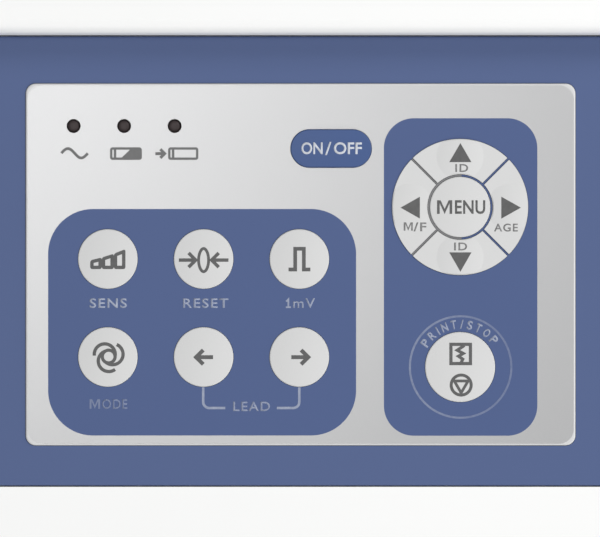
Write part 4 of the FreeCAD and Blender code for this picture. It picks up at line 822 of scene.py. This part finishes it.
def inked(name, shape, x, y, ink, body, slot, key=None):
    """Makes ink of a flat shape drawn about (x, y), on the overlay or on a domed key."""
    placed(shape, (x, y, ABOVE), MM)
    if key:
        cells(shape)
        apply(
            shape,
            "SHRINKWRAP",
            target=nodes[key],
            wrap_method="PROJECT",
            use_project_z=True,
            use_negative_direction=True,
            use_positive_direction=False,
        )
        placed(shape, (0, 0, INK_PROUD))
    else:
        placed(shape, (0, 0, panel_top + INK_PROUD - ABOVE))
    apply(shape, "SOLIDIFY", thickness=INK, offset=-1)
    named(shape, name, ink, body)


def on_key(key, shape, ink, name="symbol"):
    """Ink on one key, drawn about the middle of the keypad in millimetres."""
    slot = "key_blue" if key == "key_power" else "key_grey"
    inked(f"{key}_{name}", shape, panel_x, panel_y, ink, key, slot, key)


def on_overlay(name, shape, ink):
    """Ink on the overlay, drawn about the middle of the keypad in millimetres."""
    inked(name, shape, panel_x, panel_y, ink, "casing", "overlay_silver")


print("ink is", INK / MM, "mm thick")

# %% [markdown]
# ## Inks
# Dark grey ink marks the keys and the lights. The lettering on the blue fields is a pale ink that has
# thinned with use, some words more than others, so the blue shows through it in patches.

# %% Ink finishes
def screen_ink(name, colour, under, cover, sideways=None):
    """Ink that covers what is under it by a share that varies in small patches.

    Where a fade across is given, three numbers give the middle of the fade, its half width, and
    how many times as much ink there is on the left of it.
    """
    material, shader, place = finish(name)
    patch = noise(place, 0.9 * MM, 3.0)
    drift = min(0.08, cover / 4, (1 - cover) / 2)
    share = spread(patch, cover - drift, cover + drift)
    if sideways:
        across = add("SeparateXYZ", {0: place}).outputs["X"]
        middle, reach, left = sideways
        fade = ranged(across, left, 1.0, middle - reach, middle + reach)
        share = either(share, fade, "MULTIPLY")
    tint = mixed(share, under, colour)
    join(shader, Base_Color=tint, Roughness=0.55, Specular_IOR_Level=0.3)
    join(shader, Normal=bumped(patch, 0.004 * MM))
    return material


PALE = (0.55, 0.58, 0.64)
DARK = (0.085, 0.085, 0.085)
PRINT_CENTRE = (32.0, -20.5)
dark_ink = screen_ink("dark_ink", DARK, KEY_GREY, 0.97)
soft_ink = screen_ink("soft_ink", DARK, KEY_GREY, 0.82)
light_ink = screen_ink("light_ink", (0.13, 0.13, 0.13), SILVER, 0.97)
pale_ink = screen_ink("pale_ink", PALE, PRINT_BLUE, 0.5)
thin_ink = screen_ink("thin_ink", PALE, PRINT_BLUE, 0.42)
faint_ink = screen_ink("faint_ink", PALE, PRINT_BLUE, 0.34)
worn_ink = screen_ink("worn_ink", PALE, PRINT_BLUE, 0.2)
# The print ring's ink fades across from left to right.
ring_ink = screen_ink("ring_ink", PALE, PRINT_BLUE, 0.15, (panel_x + PRINT_CENTRE[0] * MM, 6 * MM, 1.6))
bright_ink = screen_ink("bright_ink", (0.64, 0.66, 0.69), POWER_BLUE, 0.82)
print("inks mixed")

# %% [markdown]
# ## Symbols of the six round keys
# Each symbol is drawn about the middle of its key: a stepped wedge for sensitivity, a trace that is
# squeezed to the middle for reset, a square pulse for calibration, a three-armed swirl for the mode, and
# plain arrows for the leads.

# %% An arrow as one plate
def arrow(tail, tip, head, width):
    """A shaft along a level line with an open head at its tip, as one plate."""
    half = width / 2
    back, rise = head
    slant = math.hypot(back, rise)
    step = (half * rise / slant, half * back / slant)
    upper = [(half * slant / rise, 0), (step[0] - back, rise + step[1]), (-step[0] - back, rise - step[1])]
    upper += [(-half * (slant + back) / rise, half), (-abs(tip[0] - tail[0]), half)]
    lower = [(x, -y) for x, y in reversed(upper[1:])]
    way = 1 if tip[0] > tail[0] else -1
    outline = [(tip[0] + way * x, tip[1] + y) for x, y in upper + lower]
    return plate(outline[::way])


print("arrow helper ready")


# %% Shapes for the round keys
def stepped_wedge():
    """Three outlined cells side by side under one rising edge."""
    foot = -2.02
    cells_across = ((-3.5, -1.18, -0.26, 0.3), (-1.18, 1.22, 0.3, 1.06), (1.22, 3.54, 1.06, 1.98))
    shapes = []
    for left, right, low_top, high_top in cells_across:
        corners = [(right, high_top), (left, low_top), (left, foot), (right, foot)]
        shapes.append(outlined(corners, 0.68, 0.42))
    return gathered(shapes)


def squeezed_trace():
    level = -0.22
    oval = outlined(ring((0.02, level), (1.28, 2.6), 40), 0.56)
    inward = arrow((-4.92, level), (-1.56, level), (1.42, 1.42), 0.68)
    outward = arrow((4.98, level), (1.62, level), (1.42, 1.42), 0.68)
    return gathered([oval, inward, outward])


def square_pulse():
    foot, crest = -2.1, 2.04
    path = [(-2.16, foot), (-0.83, foot), (-0.83, crest), (0.9, crest), (0.9, foot), (2.2, foot)]
    return line(path, 0.74)


def swirl():
    middle = (0.2, 0.1)
    shapes = [outlined(ring(middle, 1.6, 40), 0.64)]
    for third in (0, -120, -240):
        turn = math.radians(151 + third)
        centre = (middle[0] + 0.9 * math.cos(turn), middle[1] + 0.9 * math.sin(turn))
        shapes.append(line(arc(centre, 2.1, 187 + third, -10 + third, 24), 0.66))
    return united(shapes)


print("four shapes ready")

# %% Ink the round keys
round_symbols = {
    "key_sensitivity": stepped_wedge,
    "key_reset": squeezed_trace,
    "key_calibrate": square_pulse,
    "key_mode": swirl,
    "key_lead_back": lambda: arrow((1.9, -0.02), (-1.5, -0.02), (1.45, 1.42), 0.78),
    "key_lead_next": lambda: arrow((-1.6, -0.02), (1.8, -0.02), (1.45, 1.42), 0.78),
}
for key, draw in round_symbols.items():
    inked(key + "_symbol", draw(), *centre_of(key).xy, dark_ink, key, "key_grey", key)

# %% [markdown]
# ## The navigation ring and the print key
# Four quarter keys round a menu key each carry an arrowhead and a short word in thinner ink. The print
# key shows a chart sheet with a trace on it, and a stop sign for the second press.

# %% Draw the navigation ring's symbols
nav_marks = {
    "key_up": ([(31.94, 24.26), (29.72, 20.46), (34.14, 20.46)], "ID", (30.94, 33.5, 18.5, 20.06)),
    "key_down": ([(34.16, 2.42), (29.72, 2.42), (31.94, -1.44)], "ID", (30.7, 33.3, 2.82, 4.38)),
    "key_left": ([(23.84, 13.54), (19.98, 11.36), (23.84, 9.18)], "/F", (22.6, 25.14, 6.62, 8.42)),
    "key_right": ([(44.02, 11.36), (40.12, 13.56), (40.12, 9.16)], "AGE", (38.68, 43.44, 6.58, 8.18)),
}
for key, (head, text, room) in nav_marks.items():
    on_key(key, plate(head), dark_ink)
    lettering = [words(text, *room, 0.016)]
    if key == "key_left":
        lettering.append(letter_m(20.62, 22.44, 6.76, 8.42, 0.34))
    on_key(key, gathered(lettering), soft_ink, "word")
menu = [letter_m(27.28, 30.3, 10.12, 12.84, 0.52), words("ENU", 30.86, 36.92, 10.1, 12.84, 0.02, 1.05)]
on_key("key_menu", gathered(menu), dark_ink, "word")


# %% Draw the print key's symbols
def chart_sheet(x, y):
    corners = [(x + 2.27, y + 2.24), (x - 2.27, y + 2.24), (x - 2.27, y - 2.24), (x + 2.27, y - 2.24)]
    sheet = outlined(corners, 0.64)
    trace = [(0.75, 1.7), (-0.7, 0.75), (0.5, 0.1), (-0.45, -0.45), (0.42, -1.05), (0.0, -1.9)]
    return united([sheet, line([(x + a, y + b) for a, b in trace], 0.62)])


def stop_sign(x, y):
    rim = outlined(ring((x, y), 2.3, 48), 0.6)
    corners = [(x + 1.86, y + 1.1), (x - 1.86, y + 1.1), (x, y - 2.12)]
    return united([rim, outlined(corners, 0.56)])


on_key("key_print", gathered([chart_sheet(32.0, -17.88), stop_sign(32.1, -24.1)]), dark_ink)
on_off = [
    words("ON", 0.14, 4.4, 22.02, 24.44, 0.02, 1.0),
    words("/", 4.86, 6.16, 21.85, 24.5, 0.006),
    words("OFF", 6.62, 12.26, 22.02, 24.44, 0.02, 1.0),
]
on_key("key_power", gathered(on_off), bright_ink, "word")

# %% [markdown]
# ## Print on the overlay
# The indicator lights have their symbols below them: mains, battery low and charging. The keys on the
# blue fields have pale names, two of them share one name in a bracket, and the print key's name runs
# round it inside a thin ring.

# %% Draw the symbols of the lights
def wave(x, y, length, height, width):
    path = [(x + length * n / 24, y + height * math.sin(2 * math.pi * n / 24)) for n in range(25)]
    return line(path, width)


def cell_case(left, right, low, high):
    """A battery lying on its side: an outlined case, and a bar that parts its cap off."""
    wall = 0.48
    case = outlined(rounded(left, right, low, high, 0.5, 4), wall)
    bar = line([(left + 1.0, low + wall), (left + 1.0, high - wall)], 0.5)
    return [case, bar]


charge = plate([(-32.22, 22.96), (-34.15, 22.96), (-35.75, 21.4), (-32.22, 21.4)])
light_symbols = [
    wave(-47.85, 22.25, 5.3, 0.94, 0.56),
    *cell_case(-38.12, -31.74, 20.92, 23.44),
    charge,
    *cell_case(-26.5, -20.45, 20.92, 23.44),
    arrow((-29.04, 22.18), (-27.2, 22.18), (0.85, 0.88), 0.6),
]
on_overlay("light_symbols", gathered(light_symbols), light_ink)

# %% Draw the names of the keys
NAME_LOW, NAME_HIGH = -8.7, -6.75
NAME_WEIGHT = 0.018
one = [line([(-2.88, -7.4), (-2.45, -6.98), (-2.45, NAME_LOW + 0.32)], 0.36)]
one.append(line([(-2.96, NAME_LOW + 0.16), (-1.94, NAME_LOW + 0.16)], 0.32))
on_overlay("name_sens", words("SENS", -42.22, -34.76, NAME_LOW, NAME_HIGH, NAME_WEIGHT), pale_ink)
on_overlay("name_reset", words("RESET", -23.52, -14.44, NAME_LOW, NAME_HIGH, NAME_WEIGHT), thin_ink)
on_overlay("name_calibrate", gathered(one + [words("mV", -1.5, 2.88, NAME_LOW, NAME_HIGH, 0.01)]), thin_ink)
mode = [letter_m(-42.2, -40.1, -28.86, -26.94, 0.38)]
mode.append(words("ODE", -39.7, -34.66, -28.9, -26.9, NAME_WEIGHT))
on_overlay("name_mode", gathered(mode), worn_ink)
bracket_left = [(-19.48, -24.55)] + arc((-18.28, -27.5), 1.2, 180, 270, 6) + [(-15.06, -28.7)]
bracket_right = [(-4.74, -28.7)] + arc((-1.46, -27.5), 1.2, 270, 360, 6) + [(-0.26, -24.55)]
on_overlay("name_lead", words("LEAD", -13.5, -6.12, -29.32, -27.42, NAME_WEIGHT), faint_ink)
on_overlay("lead_bracket", gathered([line(bracket_left, 0.5), line(bracket_right, 0.5)]), thin_ink)


# %% Draw the print key's name on its arc
ARC_RADIUS, ARC_START, ARC_END = 8.55, 150, 35
LETTER_HEIGHT, LETTER_WIDTH, LETTER_WEIGHT = 1.8, 1.26, 0.03
RING_RADIUS, RING_WIDTH = 10.36, 0.42
NARROW = {"I": 0.3, "/": 0.7, "T": 1.1, "S": 1.1}


def letters_on_arc(text, centre, radius, start, end):
    """Letters stood on an arc, with even gaps between them."""
    low, high = radius - LETTER_HEIGHT / 2, radius + LETTER_HEIGHT / 2
    widths = [NARROW.get(c, LETTER_WIDTH) for c in text]
    gap = (math.radians(start - end) * radius - sum(widths)) / (len(text) - 1)
    letters = []
    walked = 0.0
    for letter, width in zip(text, widths):
        turn = math.radians(start) - (walked + width / 2) / radius
        shape = words(letter, -width / 2, width / 2, low, high, LETTER_WEIGHT)
        letters.append(placed(shape, (*centre, 0), 1.0, (0, 0, turn - math.pi / 2)))
        walked += width + gap
    return gathered(letters)


print_name = letters_on_arc("PRINT/STOP", PRINT_CENTRE, ARC_RADIUS, ARC_START, ARC_END)
on_overlay("name_print_stop", print_name, thin_ink)
on_overlay("print_ring", outlined(ring(PRINT_CENTRE, RING_RADIUS, 96), RING_WIDTH), ring_ink)

# %% [markdown]
# ## Mouldings on the hood and the lid
# The display sits in a blue frame that is clipped onto the sloping hood, its lens has a black printed
# border, and a low ring goes round the speaker's holes. The recorder's lid has ribs for a finger. These
# start as the same flat shapes. Solidify gives them height and Bevel rounds their edges, and they are then
# tilted to the slope, which is read from the largest upward face of the solid that carries them.

# %% Helpers for mouldings
def moulding(shape, height, edge):
    """Gives a flat shape a height and round edges."""
    apply(shape, "SOLIDIFY", thickness=height, offset=1)
    apply(shape, "BEVEL", width=edge, segments=3, limit_method="ANGLE")
    bpy.ops.object.shade_smooth_by_angle()
    return shape


def slope_of(node):
    """A point and the normal of the largest upward face of a solid piece."""
    upward = [f for f in nodes[node].data.polygons if f.normal.z > 0.5]
    face = max(upward, key=lambda f: f.area)
    return face.center, face.normal


def laid(shape, node, x, y, proud):
    """Lays a shape drawn in millimetres on a solid's sloping top, this far proud of it."""
    point, normal = slope_of(node)
    z = point.z - ((x - point.x) * normal.x + (y - point.y) * normal.y) / normal.z
    tilt = math.atan2(-normal.y, normal.z)
    placed(shape, Vector((x, y, z)) + normal * proud, MM, (tilt, 0, 0))


def framed(half, corner, width):
    """The rim of a round-cornered rectangle about the origin, from half its size."""
    return outlined(rounded(-half[0], half[0], -half[1], half[1], corner), width)


def repeated(shape, offsets):
    """Copies a shape to each offset, every copy with its own mesh, and joins the copies."""
    copies = []
    for offset in offsets:
        copy = shape.copy()
        copy.data = shape.data.copy()
        bpy.context.scene.collection.objects.link(copy)
        copies.append(placed(copy, (*offset, 0)))
    bpy.data.objects.remove(shape)
    return gathered(copies)


print("the hood slopes by", round(math.degrees(math.asin(-slope_of("display_hood")[1].y)), 2), "degrees")

# %% Frame the display and ring the speaker
SUNK = -0.05 * MM
LENS_HALF = (52.0, 30.0)
BEZEL_OUT, BORDER_IN = 2.4, 0.5
lens_spot = centre_of("display_lens").xy
bezel = moulding(framed([h + BEZEL_OUT for h in LENS_HALF], 5.0, 3.0), 0.7, 0.25)
laid(bezel, "display_lens", *lens_spot, SUNK)
named(bezel, "display_bezel", blue_deck, "casing")

black_border = screen_ink("black_border", (0.01, 0.01, 0.011), (0.02, 0.02, 0.022), 0.8)
border = framed([h - BORDER_IN for h in LENS_HALF], 2.5, 5.5)
laid(border, "display_lens", *lens_spot, INK_PROUD)
apply(border, "SOLIDIFY", thickness=INK, offset=-1)
named(border, "lens_border", black_border, "casing")

speaker_ring = moulding(outlined(ring((0, 0), 17.0, 72), 1.3), 0.55, 0.25)
laid(speaker_ring, "display_hood", *centre_of("speaker").xy, SUNK)
named(speaker_ring, "speaker_ring", white_casing, "casing")

# %% Rib the lid and mark the release button
RIB_PITCH, RIB_SETBACK = 2.4, 6 * MM
BUTTON_SPOT = (-0.5 * MM, -50.0 * MM)
lid_low, lid_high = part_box("recorder_door")
rib = moulding(plate(rounded(-20, 20, -0.45, 0.45, 0.44, 4)), 0.55, 0.2)
ribs = repeated(rib, [(0, RIB_PITCH * n) for n in range(5)])
placed(ribs, (centre_of("recorder_door").x, lid_low.y + RIB_SETBACK, lid_high.z + SUNK), MM)
named(ribs, "lid_ribs", blue_deck, "recorder_door")
head = plate([(0, 3.1), (-2.7, 0.1), (2.7, 0.1)])
foot = plate([(2.7, -0.75), (-2.7, -0.75), (-2.7, -1.65), (2.7, -1.65)])
button = "release_button"
inked("release_symbol", gathered([head, foot]), *BUTTON_SPOT, dark_ink, button, "key_grey", button)

# %% [markdown]
# ## The rear and the underside
# The patient socket is a fifteen-way connector: two rows of plated contacts in a blue block. Beside the
# sockets, the panel is printed with plain signs: a heart trace for the patient cable, an earth sign for the
# bonding stud and a wave for the mains. From behind, left and right change places, so these drawings are
# turned half round. The battery door has grip ribs and an arrow where it slides open.

# %% Contacts of the patient socket
def on_rear(name, shape, x, y, z, material, slot):
    """Stands a flat shape up on a face that looks to the rear."""
    placed(shape, (x, y + INK_PROUD, z), MM, (math.pi / 2, 0, math.pi))
    apply(shape, "SOLIDIFY", thickness=INK, offset=-1)
    named(shape, name, material, "casing")


insert = centre_of("socket_insert")
insert_spot = (insert.x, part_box("socket_insert")[1].y, insert.z)
CONTACT_PITCH, ROW_RISE = 2.75, 1.42
contact_spots = [((n - 3.5) * CONTACT_PITCH, ROW_RISE) for n in range(8)]
contact_spots += [((n - 3.0) * CONTACT_PITCH, -ROW_RISE) for n in range(7)]
contacts = repeated(outlined(ring((0, 0), 0.68, 20), 0.2), contact_spots)
on_rear("socket_contacts", contacts, *insert_spot, brass, "contact_brass")
# Black discs inside the contacts are painted shade, standing in for the dark of the contact holes.
hole_shade_discs = repeated(plate(ring((0, 0), 0.47, 20)), contact_spots)
on_rear("socket_hole_shade", hole_shade_discs, *insert_spot, black_component, "component_black")

# %% Signs on the rear panel
INLET_FLANGE = 2.5 * MM
panel_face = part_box("mains_inlet")[1].y - INLET_FLANGE
panel_ink = screen_ink("panel_ink", (0.75, 0.75, 0.75), (0.3, 0.31, 0.32), 0.85)
SIGN_LINE = 0.5
earth = [line([(0, 3.2), (0, 0.4)], SIGN_LINE)]
for half, y in ((2.4, 0.15), (1.6, -0.85), (0.8, -1.85)):
    earth.append(line([(-half, y), (half, y)], SIGN_LINE))
beat = [(-4.5, 0), (-2.6, 0), (-2.0, 0.8), (-1.4, 0), (-0.8, 0), (-0.4, -0.7), (0.2, 3.0)]
beat += [(0.8, -1.2), (1.2, 0), (2.0, 0), (2.6, 1.0), (3.2, 0), (4.5, 0)]
signs = {
    "mains_sign": (wave(-3.0, 0, 6.0, 1.2, SIGN_LINE), -114 * MM),
    "earth_sign": (gathered(earth), -46 * MM),
    "patient_sign": (line(beat, SIGN_LINE), 40 * MM),
}
for name, (shape, x) in signs.items():
    on_rear(name, shape, x, panel_face, insert.z, panel_ink, "panel_grey")

# %% Ribs and an arrow under the battery door
GRIP_PITCH = 2.6
GRIP_SETBACK, POINTER_SETBACK = 22 * MM, 29 * MM
UPSIDE_DOWN = (math.pi, 0, 0)
door_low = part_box("battery_door")[0]
door_x = centre_of("battery_door").x
grip = moulding(plate(rounded(-14, 14, -0.6, 0.6, 0.59, 4)), 0.6, 0.22)
grips = repeated(grip, [(0, GRIP_PITCH * n) for n in range(6)])
pointer = moulding(plate([(0, 3.0), (-3.2, -2.4), (3.2, -2.4)]), 0.5, 0.18)
for shape, name, setback in (
    (grips, "battery_door_ribs", GRIP_SETBACK),
    (pointer, "battery_door_arrow", POINTER_SETBACK),
):
    placed(shape, (door_x, door_low.y + setback, door_low.z - SUNK), MM, UPSIDE_DOWN)
    named(shape, name, white_casing, "casing")

# %% [markdown]
# ## Snap domes and the release spring
# Under each key is a snap dome, a cap of spring steel that clicks flat when it is pressed, and the release
# button stands on a coil spring. Solid models are rigid, so a pressed key would sink into its dome. They
# could be modelled afresh, but their shape is right. So a copy takes each solid's place: its triangles are
# merged, it is separated into its loose parts, and each part gets a mesh of its own on the casing.

# %% Helpers for springs
MERGE = 0.001 * MM


def loose_parts(node):
    """Copies a solid piece, merges its triangles and separates what doesn't hang together."""
    copy = bpy.data.objects.new(node + "_copy", nodes[node].data.copy())
    bpy.context.scene.collection.objects.link(copy)
    take(copy)
    bpy.ops.object.mode_set(mode="EDIT")
    bpy.ops.mesh.select_all(action="SELECT")
    bpy.ops.mesh.remove_doubles(threshold=MERGE)
    bpy.ops.object.mode_set(mode="OBJECT")
    bpy.ops.mesh.separate(type="LOOSE")
    bpy.ops.object.shade_smooth_by_angle()
    return list(bpy.context.selected_objects)


def springy(part, name, node):
    """Lets a part stand for its solid, with a mesh of its own, on the casing."""
    named(part, name, spring_steel, "casing")
    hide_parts(node)
    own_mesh(part)


# %% Let the domes and the spring stand for their solids
for dome in loose_parts("snap_domes"):
    spot = sum((v.co for v in dome.data.vertices), Vector()) / len(dome.data.vertices)
    key = min(key_names, key=lambda name: (centre_of(name) - spot).xy.length)
    springy(dome, key + "_dome", "snap_domes")
for coil in loose_parts("release_spring"):
    springy(coil, "release_coil", "release_spring")

# %% [markdown]
# ## Floor
# The machine stands on a plain pale surface, which only the other views see.

# %% Lay the floor
fresh()
bpy.ops.mesh.primitive_plane_add(size=14)
floor = bpy.context.object
floor.name = "floor"
wear(floor, moulded("pale_floor", (0.52, 0.52, 0.515), 0.7, 1.5 * MM, 0.01 * MM, 0.01))
print("floor", tuple(floor.dimensions))
